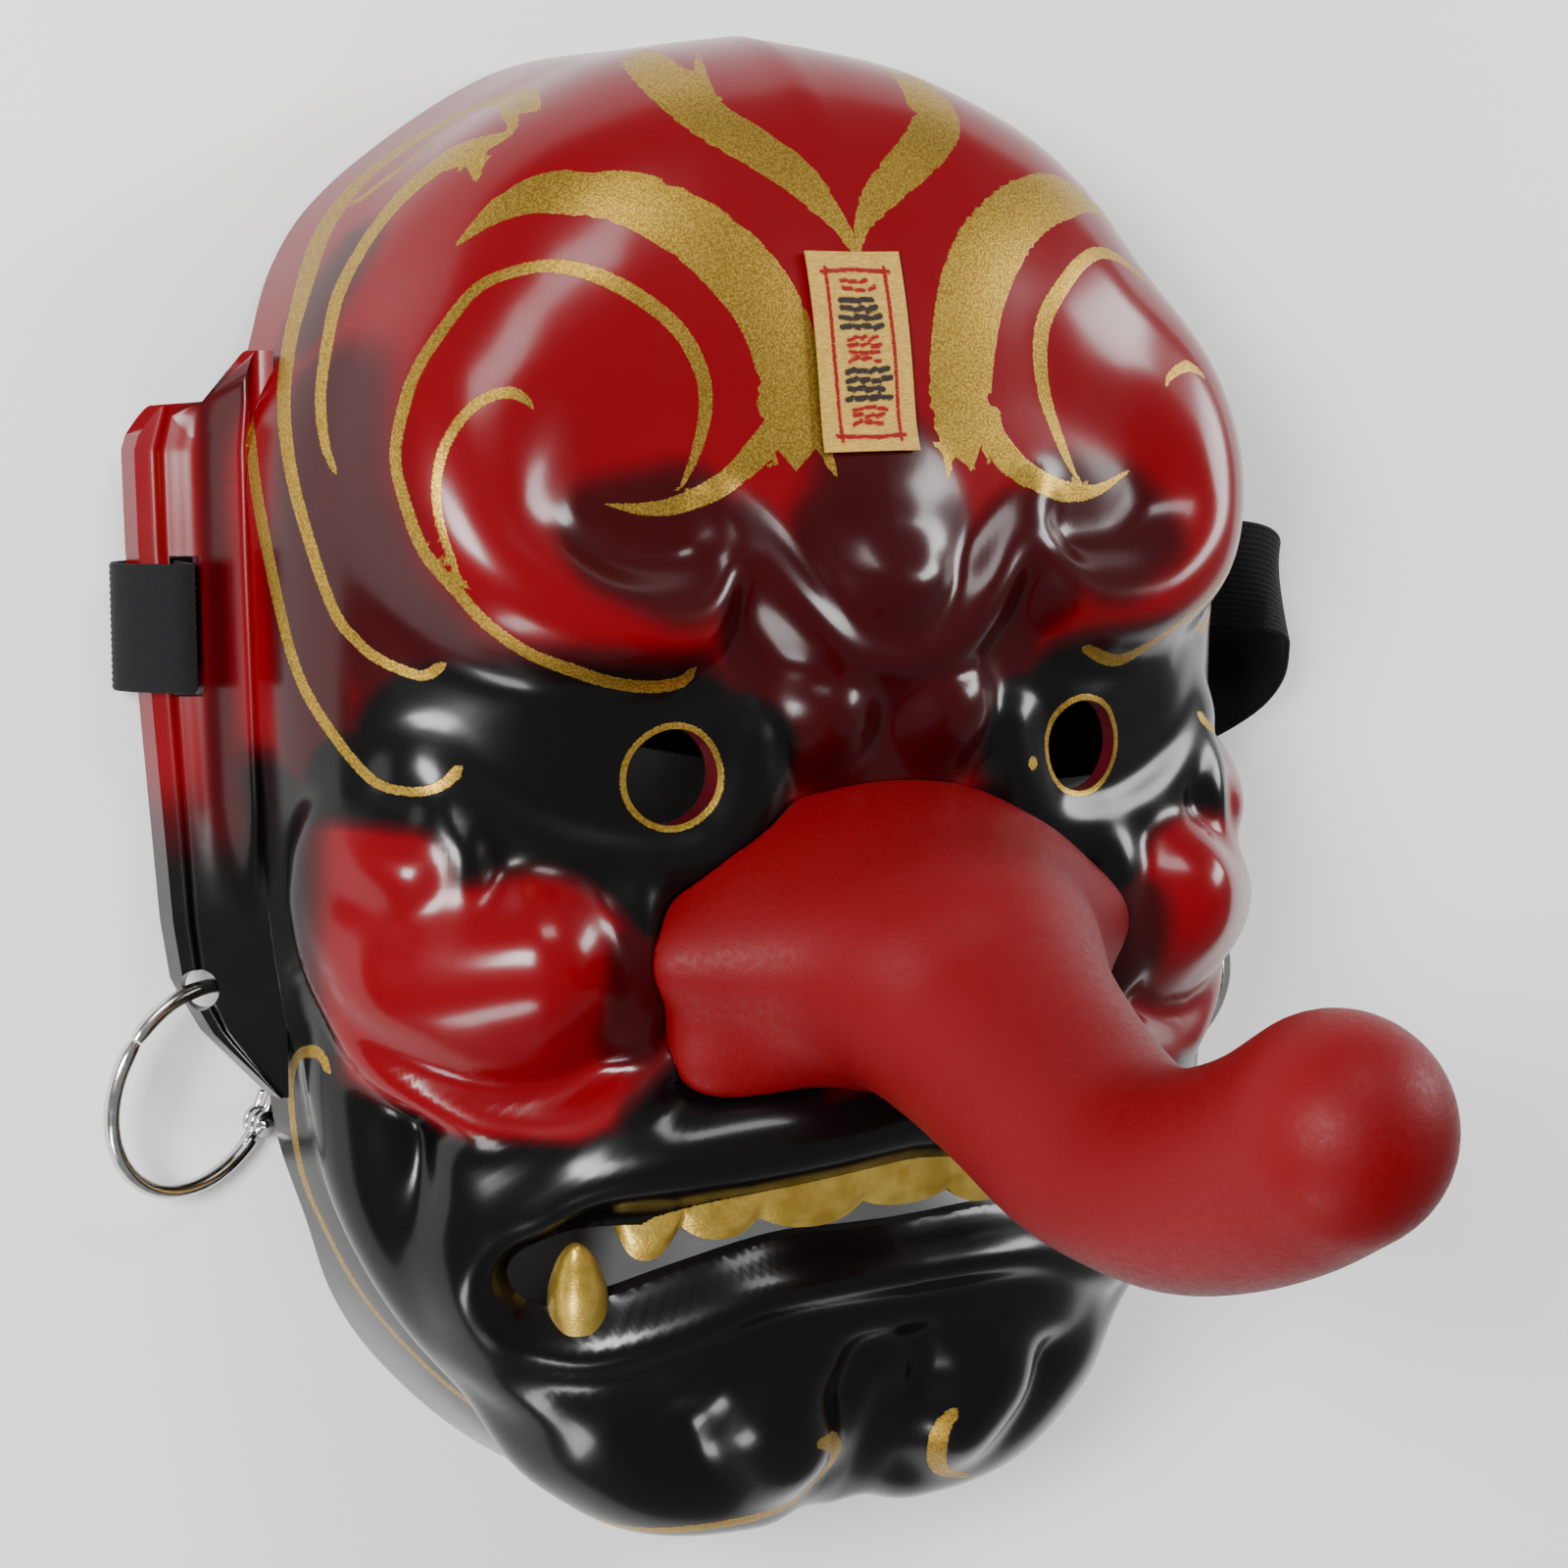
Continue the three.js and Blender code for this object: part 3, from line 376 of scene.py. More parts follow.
# (notch out, notch up, lowest place of the tooth before it)
TEETH = [(-8, -67.8, 0), (8, -67.8, -69.2), (25.2, -68.8, -71), (37, -69.6, -72), (46.5, -69.5, -75.4),
         (49.5, -66.5, -66.5)]
TEETH_END, TEETH_TOP, TOOTH_THICK = 49, -58, 3
# (share of its length, radius)
FANG = [(0, 4.8), (0.2, 4.8), (0.4, 4.6), (0.55, 4.1), (0.7, 3.4), (0.8, 2.8), (0.9, 2), (0.96, 1.2), (1, 0.6)]


def closed_curve(points, steps=10):
    line = curve_through(points[-2:] + points + points[:2], steps)
    return line[2 * steps:(2 + len(points)) * steps]


def prism(outline, low, high):
    o = np.asarray(outline, float)
    return wrap([np.column_stack([o, np.full(len(o), z)]) for z in (low, high)])


def teeth_edge(u):
    out = np.zeros_like(u)
    for (u0, v0, _), (u1, v1, low) in zip(TEETH, TEETH[1:]):
        t = (u - u0) / (u1 - u0)
        level = v0 + (v1 - v0) * t
        out = np.where((t >= 0) & (t <= 1), level - (level - low) * (1 - np.abs(2 * t - 1) ** 2.4), out)
    return out


def teeth():
    rows = []
    for u in np.linspace(-TEETH_END, TEETH_END, 197):
        h = 16 - 7 * (u / 50) ** 2 - 4.5
        low = teeth_edge(np.array([abs(u)]))[0]
        v = np.linspace(TEETH_TOP, low, 12)
        round_off = 0.9 * smooth(v, low + 3, low)
        front = on_face(u, v, h - round_off)
        back = on_face(u, v[::-1], h - TOOTH_THICK)
        rows.append(np.vstack([front, back]))
    return wrap(rows)


def fang(side):
    foot, tip = on_face([side * 50.5, side * 53.5], [-84.5, -70.5], [5, 8])
    return bar(foot, tip, 1, 32, FANG)


def build_face():
    skin, u, v, inner = face_rows()
    rows = [skin[:, i] for i in range(ROWS)] + [inner[:, i] for i in range(INNER_ROWS)]
    ends = crown_point(), crown_point(-WALL, INNER_SHRINK, INNER_SHARE)
    face = new_object("face", *wrap(rows, *ends), finish=LACQUER)
    for i in range(COLUMNS * (ROWS - 1), COLUMNS * (ROWS + INNER_ROWS - 1)):
        face.data.polygons[i].material_index = INNER
    for polygon in face.data.polygons[-2 * COLUMNS:]:
        if polygon.index % 2:
            polygon.material_index = INNER
    for side in (-1, 1):
        unite(face, ear(side), LACQUER)
        cut(face, bar((side * EYE_X, 0, 30), (side * EYE_X, 0, 90), EYE_R, 64), WALL_RED)
        slot = [(side * SLOT_X + sx * SLOT_HALF_W, STRAP_Y + sy * SLOT_HALF_L)
                for sx, sy in ((-1, -1), (1, -1), (1, 1), (-1, 1))]
        cut(face, prism(slot, -1, 30), WALL_RED)
        out = np.array([side * EAR_SLOPE, 0, 1]) / sqrt(1 + EAR_SLOPE**2)
        hole = RING_HOLE * [side, 1, 1]
        cut(face, bar(hole - out * 8, hole + out * 8, RING_HOLE_R, 40), WALL_BLACK)
    outline = closed_curve(MOUTH + [(-x, y) for x, y in MOUTH[::-1]])
    cut(face, prism(outline, 20, 100), WALL_BLACK)
    for shape in (teeth(), fang(-1), fang(1)):
        unite(face, shape, TOOTH)
    face.data.set_sharp_from_angle(angle=radians(48))
    return face, skin.reshape(-1, 3), u.ravel(), v.ravel()


# The nose
NOSE = [(-26, 55, 40, 22.5), (-26.5, 63, 41.5, 22.5), (-28, 71, 39, 22.2), (-30, 79, 32, 22),
        (-33.5, 88, 25.5, 20), (-39, 98, 21, 18), (-45, 109, 18.5, 17), (-51, 121, 17.2, 16.6),
        (-53.6, 132, 16.4, 16), (-53.6, 143.5, 16.4, 16.2), (-50.8, 155, 16.6, 16.4), (-46.4, 166, 16.8, 16.6),
        (-40.5, 176.5, 16.8, 16.8)]
NOSE_TIP_R, SEAT_GAP = 16.8, 0.35


def build_nose(skin):
    """Oval sections along a bent line, with wings at the foot, a dip over the bridge and a round tip."""
    line = curve_through(NOSE, 14)
    turn = np.linspace(0, 2 * pi, 180, endpoint=False)
    away = np.abs((turn + pi) % (2 * pi) - pi)
    wings = 6 * np.exp(-((away - 1.6) / 0.34) ** 2) + 10 * np.exp(-((away - 2.22) / 0.26) ** 2)
    bridge = 1.6 * np.exp(-(away / 1.1) ** 2)
    dip = 2.2 * np.exp(-(away / 0.95) ** 4)

    def section(middle, wide, tall):
        return middle + np.outer(wide * np.sin(turn), [1, 0, 0]) + np.outer(tall * np.cos(turn), up)
    rows = []
    for i, (y, z, wide, tall) in enumerate(line):
        dy, dz = line[min(i + 1, len(line) - 1)][:2] - line[max(i - 1, 0)][:2]
        dy = dy * smooth(z, 70, 90)
        size = sqrt(dy * dy + dz * dz)
        up = np.array([0, dz / size, -dy / size])
        swell = exp(-((z - 72) / 9) ** 2) * wings + (1 - smooth(z, 88, 98)) * bridge
        swell = swell - exp(-((z - 79) / 6) ** 2) * dip
        rows.append(section(np.array([0, y, z]), wide + swell, tall + swell))
    ahead = np.array([0, dy / size, dz / size])
    tip = np.array([0, line[-1][0], line[-1][1]])
    for q in np.radians(np.linspace(6, 86, 14)):
        rows.append(section(tip + ahead * NOSE_TIP_R * sin(q), NOSE_TIP_R * cos(q), NOSE_TIP_R * cos(q)))
    nose = new_object("nose_piece", *wrap(rows, None, tip + ahead * NOSE_TIP_R))
    skin = skin.reshape(COLUMNS, ROWS, 3)
    seat = [skin[:, i] + [0, 0, SEAT_GAP] for i in range(int(ROWS * 0.75))]
    seat.append(seat[-1] * [1, 1, 0] + [0, 0, -20])
    cut(nose, wrap(seat, crown_point(SEAT_GAP)))
    # Painted shade: the nose's underside is darkened, and the bend and the tip a little
    y, z = coordinates(nose)[:, 1:].T
    bend = 0.25 * np.exp(-((z - 128) / 20) ** 2) * smooth(y, -60, -36)
    under = 0.6 * (1 - smooth(y, -72, -58))
    end = 0.3 * smooth(z, 180, 196)
    float_layer(nose, "shade", np.clip(np.maximum(np.maximum(bend, under), end), 0, 1))
    return nose


# Painted strokes on the face: rows of (across, up, half width), as laid out round the eyes
STROKES = {
    "outer temple": [
        (-105.9, 74.4, 0.5), (-105, 63, 1.3), (-103.8, 49.7, 1.5), (-100.6, 31.7, 1.3), (-96.9, 19, 1.1),
        (-90.5, 8.6, 0.9), (-84.1, 1.2, 0.8), (-77.7, -0.8, 0.7), (-73.3, 0.2, 0.8), (-71.1, 2.3, 1)],
    "long temple": [
        (-52, 124, 1.4), (-60, 124, 2.2), (-72.4, 119.5, 2.6), (-80.3, 113.5, 2.8), (-87.1, 103.4, 2.7),
        (-91.8, 89.5, 2.4), (-95.4, 78.1, 2), (-96.5, 66.6, 1.6), (-95.7, 55.1, 1.3), (-93.8, 44.6, 1.1),
        (-89.4, 29, 0.9), (-85.6, 23.1, 0.8), (-81.9, 19.7, 0.8), (-76.1, 17, 0.8), (-73.2, 18.3, 0.9)],
    "leaf": [(-54, 124, 1.2), (-50, 122, 3), (-47.2, 116.5, 3.6), (-46.3, 106.9, 0.4)],
    "leaf barb": [(-48.7, 117.9, 2), (-50.8, 107, 1.3), (-51.6, 100.8, 0.2)],
    "link": [(-78.6, 107.4, 0.8), (-68.8, 111.3, 1), (-59.6, 116.9, 0.4)],
    "second temple": [
        (-53.1, 101.8, 1.4), (-57.5, 101.5, 3.4), (-61.5, 101.7, 3.9), (-66.3, 100.7, 3.2), (-73, 96.9, 2.2),
        (-78.5, 91.5, 1.7), (-84.3, 82.4, 1.5), (-87.6, 70.9, 1.2), (-89, 62.8, 1), (-88.8, 54.8, 0.8),
        (-87.3, 49, 0.4)],
    "second barb": [(-58.3, 98.4, 2.4), (-59.6, 93, 0.3)],
    "broad arc": [
        (-65.3, 81.8, 0.2), (-59.6, 85.7, 1.5), (-53.1, 88.7, 3.3), (-45.2, 88.3, 4.1), (-37.9, 87.2, 5.1),
        (-29.8, 83.1, 5.8), (-22.8, 77.2, 6.3), (-18, 70.6, 6.2), (-15.4, 62.8, 6.1), (-14.9, 56, 6.6),
        (-15.1, 51.5, 5.6)],
    "arc barb": [(-17.5, 50.7, 2.1), (-16.9, 47.4, 0.3)],
    "arc barb inner": [(-10.6, 50.5, 2.2), (-8.7, 44.9, 0.2)],
    "broad curl": [
        (-16.3, 53.7, 4.4), (-20.5, 50.4, 2.7), (-25.4, 46.1, 1.9), (-31.2, 43, 1.6), (-37.2, 41, 1.3),
        (-42.5, 40.7, 0.9), (-48.2, 41.6, 0.1)],
    "brow arc": [
        (-35.7, 43.7, 0.2), (-32.6, 49.1, 0.8), (-30.5, 55.2, 1.1), (-30.6, 60.8, 1.2), (-33.7, 66.9, 1.3),
        (-39.2, 71.5, 1.3), (-45.9, 75.1, 1.3), (-51.7, 76.7, 1.1), (-56.3, 76.5, 0.9), (-63.2, 74.2, 0.8),
        (-69.8, 67.4, 0.8), (-74.5, 61.3, 0.8), (-77.1, 55.2, 0.8), (-78.6, 48.9, 0.7), (-78, 42.8, 0.7),
        (-75.7, 34.7, 0.7), (-71.6, 28.6, 0.7), (-67.5, 23.6, 0.7), (-61.9, 19.5, 0.7), (-56, 17, 0.8),
        (-49.6, 14.9, 0.8), (-42.7, 13.9, 0.9), (-37.4, 14.5, 1), (-36, 15.9, 1)],
    "brow hook": [
        (-58.9, 55.2, 0.3), (-60.1, 56.6, 0.8), (-62, 57.5, 0.9), (-65.2, 56.9, 0.8), (-69, 54.4, 0.7),
        (-72.5, 49.4, 0.7), (-74, 43.5, 0.6), (-73.7, 38.1, 0.5), (-72.2, 32.6, 0.4), (-71, 28.5, 0.2)],
    "left branch": [
        (-22, 124, 2), (-24.4, 119, 4.2), (-25.5, 112, 4.8), (-23.8, 105.7, 5), (-20.4, 101.1, 4.9),
        (-15.5, 97.5, 4.3), (-8.4, 92.4, 3.8), (-4.2, 87.1, 2.9), (-1.9, 83.2, 1.6), (-0.8, 79.5, 0.4)],
    "left branch barb": [(-19.8, 104.4, 2), (-18.3, 111, 1.2), (-14.6, 119.5, 0.2)],
    "right branch": [
        (0.3, 79.5, 0.4), (1.4, 83.5, 1.5), (4.9, 87.7, 2.6), (11.2, 92.6, 3.3), (17.7, 97.2, 3.8),
        (23.3, 102.4, 4.2), (26.5, 109.1, 3.6), (27.3, 115, 2.2), (26.6, 120.5, 0.4)],
    "right branch barb": [(21.1, 105.1, 2.3), (22, 110.5, 1.7), (22.6, 117, 0.2)],
    "broad arc right": [
        (63.3, 84.5, 0.4), (56, 88.4, 1.8), (46.5, 89.3, 3.9), (35.8, 87.1, 5), (26.6, 81.2, 6), (20.7, 73.4, 6.3),
        (18, 65.6, 6.2), (16.6, 57.8, 6.1), (16.4, 51.5, 5.5), (16.8, 49.4, 4.2)],
    "arc barb right": [(13.7, 49.3, 2.6), (12.7, 43.9, 0.2)],
    "arc barb outer": [(18.6, 49.6, 2.6), (17.6, 45.2, 0.3)],
    "broad curl right": [
        (20.8, 53, 3.8), (23.5, 48.5, 2.8), (29.2, 43.6, 2.2), (35.8, 41.3, 1.8), (43.1, 41.1, 1),
        (51.2, 44.2, 0.2)],
    "brow arc right": [
        (62, 75.5, 0.4), (54.6, 78.8, 0.9), (48, 79, 1.1), (41, 75.4, 1.3), (34.1, 68, 1.5), (33.3, 58.4, 1.3),
        (36.9, 47.7, 0.9), (39.7, 42.4, 0.2)],
    "brow hook right": [(67.9, 58, 0.4), (65.2, 60, 0.9), (61.9, 59.6, 0.8), (59.3, 58.3, 0.6), (58.2, 56.5, 0.2)],
    "brow line right": [
        (37.7, 15.9, 0.6), (42.3, 14, 0.9), (46.5, 13.4, 1), (50.2, 14.8, 1), (54, 17.2, 0.9), (58.6, 20.4, 0.8),
        (62.5, 23.6, 0.7), (68, 28, 0.6)],
    "jaw line": [
        (-90.7, -47.4, 0.8), (-92.7, -46.2, 0.9), (-95.5, -46.8, 0.9), (-100.5, -50.8, 0.9), (-103.6, -56.1, 1),
        (-104.6, -63.4, 1.1), (-101.9, -80.3, 1.1), (-97.4, -89.3, 1.1), (-85.7, -103, 1.1), (-66, -116.5, 1.1),
        (-50.2, -119, 1), (-32.8, -118.5, 1), (-19.8, -118.5, 1.1), (-10.5, -116.5, 1.3), (-7, -110.5, 1.4),
        (-10, -105.3, 1.3), (-13.6, -103.6, 0.9)],
    "chin curl right": [
        (11.8, -103.5, 0.8), (10.3, -106.8, 1.2), (11.6, -111.7, 1.2), (14.9, -115.6, 1.1), (22.2, -118.6, 0.4)],
}
# Neighbours whose offsets are counted the other way round, so that two facing edges have the same sign
TURNED = ("long temple", "brow arc", "broad arc", "broad curl", "broad arc right", "broad curl right")
MIRRORED = ("outer temple", "long temple", "leaf", "leaf barb", "link", "second temple", "second barb")

# Airbrushed areas of one half: rows of (out, up, radius, fade), all black but the red ones laid over them
BLACK = [
    [(74, 6, 10, 9), (56, 3, 12, 9), (39, 1, 13, 9), (28, 2, 8, 8)],
    [(88, 0, 6, 9), (70, -8, 5, 6), (52, -14, 6, 6), (34, -16, 7, 8), (26, -8, 5, 8)],
    [(110, -12, 14, 10), (112, -40, 16, 8), (104, -66, 18, 8), (84, -92, 22, 8), (50, -112, 30, 8),
     (0, -118, 34, 8)],
    [(92, -66, 16, 6), (76, -74, 18, 5), (58, -72, 17, 5), (30, -72, 20, 5), (0, -74, 24, 6)],
    [(40, -56, 8, 6), (30, -48, 8, 6), (24, -40, 8, 8)],
    [(104, -104, 18, 8), (66, -142, 28, 8), (0, -162, 30, 8)],
]
RED_AGAIN = [
    [(79, -29, 9, 7), (62, -29, 13, 6)],
    [(90, -24, 2, 5), (82, -38, 3, 4), (70, -46, 3.5, 4), (56, -48, 3.5, 4)],
    [(79, -13.5, 4.5, 5), (88, -11, 3, 5)],
]
# Dark red areas of one half, rows of (out, up, radius, fade): dark red paint down the glabella and on the frown
# folds; painted shade in the brow hollow, in the valley beside and under the brow and in the crease beside the
# cheek; also darker between the temple strokes and along the temple's outer side
MAROON_AND_SHADE = [
    [(0, 42, 8, 12), (0, 30, 15, 9), (0, 14, 18, 9), (0, 0, 12, 8)],
    [(36, 38, 6, 8), (48, 36, 6, 8), (40, 33, 7, 8)],
    [(27, 32, 7, 7), (19, 22, 9, 7), (16, 8, 9, 8)],
    [(88, 62, 4, 14), (90, 44, 6, 12), (86, 28, 7, 10), (74, 16, 5, 8), (58, 9, 4, 7)],
    [(80, 93, 1, 9), (91, 79, 2, 11)], [(97, 42, 1, 12), (95, 20, 4, 10), (94, 5, 6, 8)],
    [(46, -38, 3, 7), (46, -26, 2.5, 6)],
]
FAR_FROM_PAINT, NO_PAINT = 9.0, -3.0
MAROON_AND_SHADE_SHARE = 0.62
EYE_RIM_R, EYE_RIM_HALF = 7.9, 0.58
DAB, DAB_HALF = (26.6, -2), 1.1


def nearest_stroke(u, v):
    """Signed offset from the middle of the nearest stroke, its half width there, and how far inside it is."""
    best, offset, half = (np.full(u.shape, x) for x in (-FAR_FROM_PAINT, FAR_FROM_PAINT, NO_PAINT))
    strokes = list(STROKES.items()) + [(name, [(-a, b, c) for a, b, c in STROKES[name]]) for name in MIRRORED]
    for name, rows in strokes:
        line, turned = curve_through(rows, 5), -1 if name in TURNED else 1
        near = (u > line[:, 0].min() - FAR_FROM_PAINT) & (u < line[:, 0].max() + FAR_FROM_PAINT)
        near &= (v > line[:, 1].min() - FAR_FROM_PAINT) & (v < line[:, 1].max() + FAR_FROM_PAINT)
        uu, vv = u[near], v[near]
        for a, b in zip(line, line[1:]):
            dx, dy = b[0] - a[0], b[1] - a[1]
            size = max(sqrt(dx * dx + dy * dy), 1e-6)
            run = ((uu - a[0]) * dx + (vv - a[1]) * dy) / size
            side = ((uu - a[0]) * dy - (vv - a[1]) * dx) / size
            t = np.clip(run / size, 0, 1)
            past = np.maximum(np.maximum(-run, run - size), 0)
            w = np.maximum(a[2] + (b[2] - a[2]) * t, 0)
            score = w - np.hypot(side, past)
            better = score > best[near]
            where = np.flatnonzero(near)[better]
            best[where] = score[better]
            offset[where] = turned * side[better]
            half[where] = (w - past)[better]
    return offset, np.where(best < NO_PAINT - 0.5, NO_PAINT, half), best


def soft_area(chains, u, v):
    cover = np.zeros_like(u)
    for chain in chains:
        for a, b in segments(chain):
            t, away = along_segment(a, b, u, v)
            r = a[2] + (b[2] - a[2]) * t
            fade = a[3] + (b[3] - a[3]) * t
            cover = np.maximum(cover, 1 - smooth(away, r, r + fade))
    return cover


def float_layer(obj, name, values):
    layer = obj.data.attributes.new(name, "FLOAT", "POINT")
    layer.data.foreach_set("value", np.asarray(values, float))


def coordinates(obj):
    co = np.empty(len(obj.data.vertices) * 3)
    obj.data.vertices.foreach_get("co", co)
    return co.reshape(-1, 3) / MM - np.array(SHIFT)


def lay_out(points, skin, skin_u, skin_v):
    """Layout place of each point: that of the nearest skin points, weighted by nearness."""
    tree = kdtree.KDTree(len(skin))
    for i, p in enumerate(skin):
        tree.insert(p, i)
    tree.balance()
    found = [tree.find_n(p, 3) for p in points]
    near = np.array([[k for _, k, _ in row] for row in found])
    away = np.array([[d for _, _, d in row] for row in found])
    weight = 1 / np.maximum(away, 1e-5) ** 2
    weight /= weight.sum(1, keepdims=True)
    return (weight * skin_u[near]).sum(1), (weight * skin_v[near]).sum(1), away[:, 0]


def paint_layers(face, skin, skin_u, skin_v):
    p = coordinates(face)
    u, v, away = lay_out(p, skin, skin_u, skin_v)
    side = np.abs(u)
    black = soft_area(BLACK, side, v) * (1 - soft_area(RED_AGAIN, side, v))
    # Dark red paint, with painted shade in the creases and hollows
    maroon_and_shade = soft_area(MAROON_AND_SHADE, side, v) * MAROON_AND_SHADE_SHARE
    flank = smooth(side, 84, 98) * (1 - smooth(v, -6, 16))
    # tone runs from 0 for red to 1 for black: black and dark red paint, with painted shade in the creases and
    # hollows
    tone = np.maximum(np.maximum(black, maroon_and_shade), flank)
    on_ear = (np.abs(p[:, 0]) > 84.5) & (away > 0.8)
    ear_share = smooth(away, 0.2, 3.5) * (np.abs(p[:, 0]) > 82)
    # The ear is painted black below; the darker band near the head is painted shade in the ear's hollow
    ear_paint_and_shade = np.maximum(1 - smooth(p[:, 1], -22, 6), 0.55 * (1 - smooth(np.abs(np.abs(p[:, 0]) - 90.5), 1.5, 5)))
    tone = tone + (ear_paint_and_shade - tone) * ear_share
    offset, half, inside = nearest_stroke(u, v)
    reach = np.hypot(np.abs(p[:, 0]) - EYE_X, p[:, 1])
    rim = reach < 12
    offset, half = np.where(rim, reach - EYE_RIM_R, offset), np.where(rim, EYE_RIM_HALF, half)
    from_dab = np.hypot(u - DAB[0], v - DAB[1])
    dab = from_dab < 3
    offset, half = np.where(dab, from_dab, offset), np.where(dab, DAB_HALF, half)
    half = np.where(on_ear, NO_PAINT, half)
    inside = np.where(rim | dab, half - np.abs(offset), inside)
    layers = {"tone": tone, "stroke_offset": offset, "stroke_half": half, "stroke_inside": inside}
    for name, values in layers.items():
        float_layer(face, name, values)


# Finishes
class Nodes:
    """Helper that adds and joins shader nodes."""

    def __init__(self, name):
        self.material = bpy.data.materials.new(name)
        self.material.use_nodes = True
        self.tree = self.material.node_tree
        self.shader = self.tree.nodes["Principled BSDF"]
        self.place = self.add("ShaderNodeTexCoord").outputs["Object"]

    def add(self, kind, **values):
        node = self.tree.nodes.new(kind)
        for key, value in values.items():
            setattr(node, key, value)
        return node

    def feed(self, socket, value):
        if hasattr(value, "links"):
            self.tree.links.new(value, socket)
        else:
            socket.default_value = (*value, 1) if isinstance(value, tuple) and len(value) == 3 else value

    def math(self, how, a, b=0.0, c=0.0):
        node = self.add("ShaderNodeMath", operation=how)
        for socket, value in zip(node.inputs, (a, b, c)):
            self.feed(socket, value)
        return node.outputs[0]

    def plus(self, a, b):
        return self.math("ADD", a, b)

    def times(self, a, b):
        return self.math("MULTIPLY", a, b)

    def spread(self, noise, share):
        """The noise as a value that swings round nought."""
        return self.times(self.math("SUBTRACT", noise, 0.5), share)

    def layer(self, name):
        return self.add("ShaderNodeAttribute", attribute_name=name).outputs["Fac"]

    def noise(self, scale, detail=3.0, stretch=None):
        node = self.add("ShaderNodeTexNoise")
        node.inputs["Scale"].default_value = scale
        node.inputs["Detail"].default_value = detail
        place = self.place
        if stretch:
            mapping = self.add("ShaderNodeMapping")
            mapping.inputs["Scale"].default_value = stretch
            self.feed(mapping.inputs["Vector"], place)
            place = mapping.outputs[0]
        self.feed(node.inputs["Vector"], place)
        return node.outputs["Fac"]

    def step(self, value, low, high, a=0.0, b=1.0):
        node = self.add("ShaderNodeMapRange", interpolation_type="SMOOTHSTEP")
        for name, x in (("Value", value), ("From Min", low), ("From Max", high), ("To Min", a), ("To Max", b)):
            self.feed(node.inputs[name], x)
        return node.outputs[0]

    def blend(self, share, a, b):
        node = self.add("ShaderNodeMix", data_type="RGBA")
        for socket, value in (("Factor", share), (6, a), (7, b)):
            self.feed(node.inputs[socket], value)
        return node.outputs[2]

    def bump(self, height, strength, distance):
        node = self.add("ShaderNodeBump")
        node.inputs["Strength"].default_value = strength
        node.inputs["Distance"].default_value = distance
        self.feed(node.inputs["Height"], height)
        self.feed(self.shader.inputs["Normal"], node.outputs[0])

    def set(self, **values):
        for name, value in values.items():
            self.feed(self.shader.inputs[name.replace("_", " ")], value)
        return self.material


def lacquer():
    n = Nodes("glossy_lacquer")
    # The tone layer darkens the red to dark red and black: the paint's own colours, with painted shade in the
    # creases and hollows
    cloud = n.plus(n.layer("tone"), n.spread(n.noise(28, 4), 0.16))
    red = n.blend(n.step(cloud, 0.04, 0.6), (0.145, 0, 0.003), (0.034, 0, 0.001))
    coat = n.blend(n.step(cloud, 0.5, 0.95), red, (0.002, 0.0016, 0.0018))
    fleck = n.noise(2600, 1)
    inside = n.math("SUBTRACT", n.layer("stroke_half"), n.math("ABSOLUTE", n.layer("stroke_offset")))
    inside = n.math("MINIMUM", inside, n.plus(n.layer("stroke_inside"), 0.6))
    gold = n.step(n.plus(inside, n.spread(fleck, 0.32)), -0.08, 0.12)
    spark = n.blend(n.step(fleck, 0.3, 0.75), (0.21, 0.12, 0.014), (0.42, 0.27, 0.045))
    rough = n.plus(n.step(n.noise(60, 5), 0.3, 0.8, 0.21, 0.27), n.times(gold, 0.17))
    grit = n.times(gold, n.times(fleck, 1.4))
    n.bump(n.plus(n.times(n.noise(420, 3), 0.35), grit), 0.12, 0.0002)
    return n.set(Base_Color=n.blend(gold, coat, spark), Metallic=n.times(gold, 0.82), Roughness=rough,
                 Specular_IOR_Level=0.22, Coat_Weight=n.times(n.math("SUBTRACT", 1, gold), 0.1),
                 Coat_Roughness=0.12)


def grained(name, noise, bump, dark, light, rough=None, **values):
    """Plain finish, tinted, roughened and grained by one fine noise."""
    n = Nodes(name)
    grain = n.noise(*noise)
    n.bump(grain, *bump)
    if rough:
        values["Roughness"] = n.step(grain, *rough)
    return n.set(Base_Color=n.blend(grain, dark, light), **values)


def shell_finishes():
    """In the order of LACQUER, INNER, WALL_RED, WALL_BLACK and TOOTH."""
    return [
        lacquer(),
        grained("inner_black", (180, 5), (0.3, 0.0004), (0.006, 0.006, 0.007), (0.014, 0.013, 0.014),
                (0.3, 0.7, 0.42, 0.6)),
        grained("hole_wall", (300, 4), (0.2, 0.0003), (0.1, 0.003, 0.008), (0.03, 0.002, 0.004),
                Roughness=0.35),
        grained("mouth_wall", (300, 4), (0.2, 0.0003), (0.006, 0.006, 0.007), (0.012, 0.01, 0.011),
                Roughness=0.25, Coat_Weight=0.4),
        tooth_gold()]


def tooth_gold():
    n = Nodes("tooth_gold")
    cloud = n.noise(160, 4)
    fleck = n.noise(2200, 1)
    tint = n.blend(n.step(cloud, 0.35, 0.7), (0.4, 0.25, 0.035), (0.62, 0.43, 0.09))
    n.bump(n.plus(n.times(cloud, 2.0), fleck), 0.2, 0.0003)
    return n.set(Base_Color=tint, Metallic=0.75, Roughness=n.step(fleck, 0.3, 0.7, 0.3, 0.42))


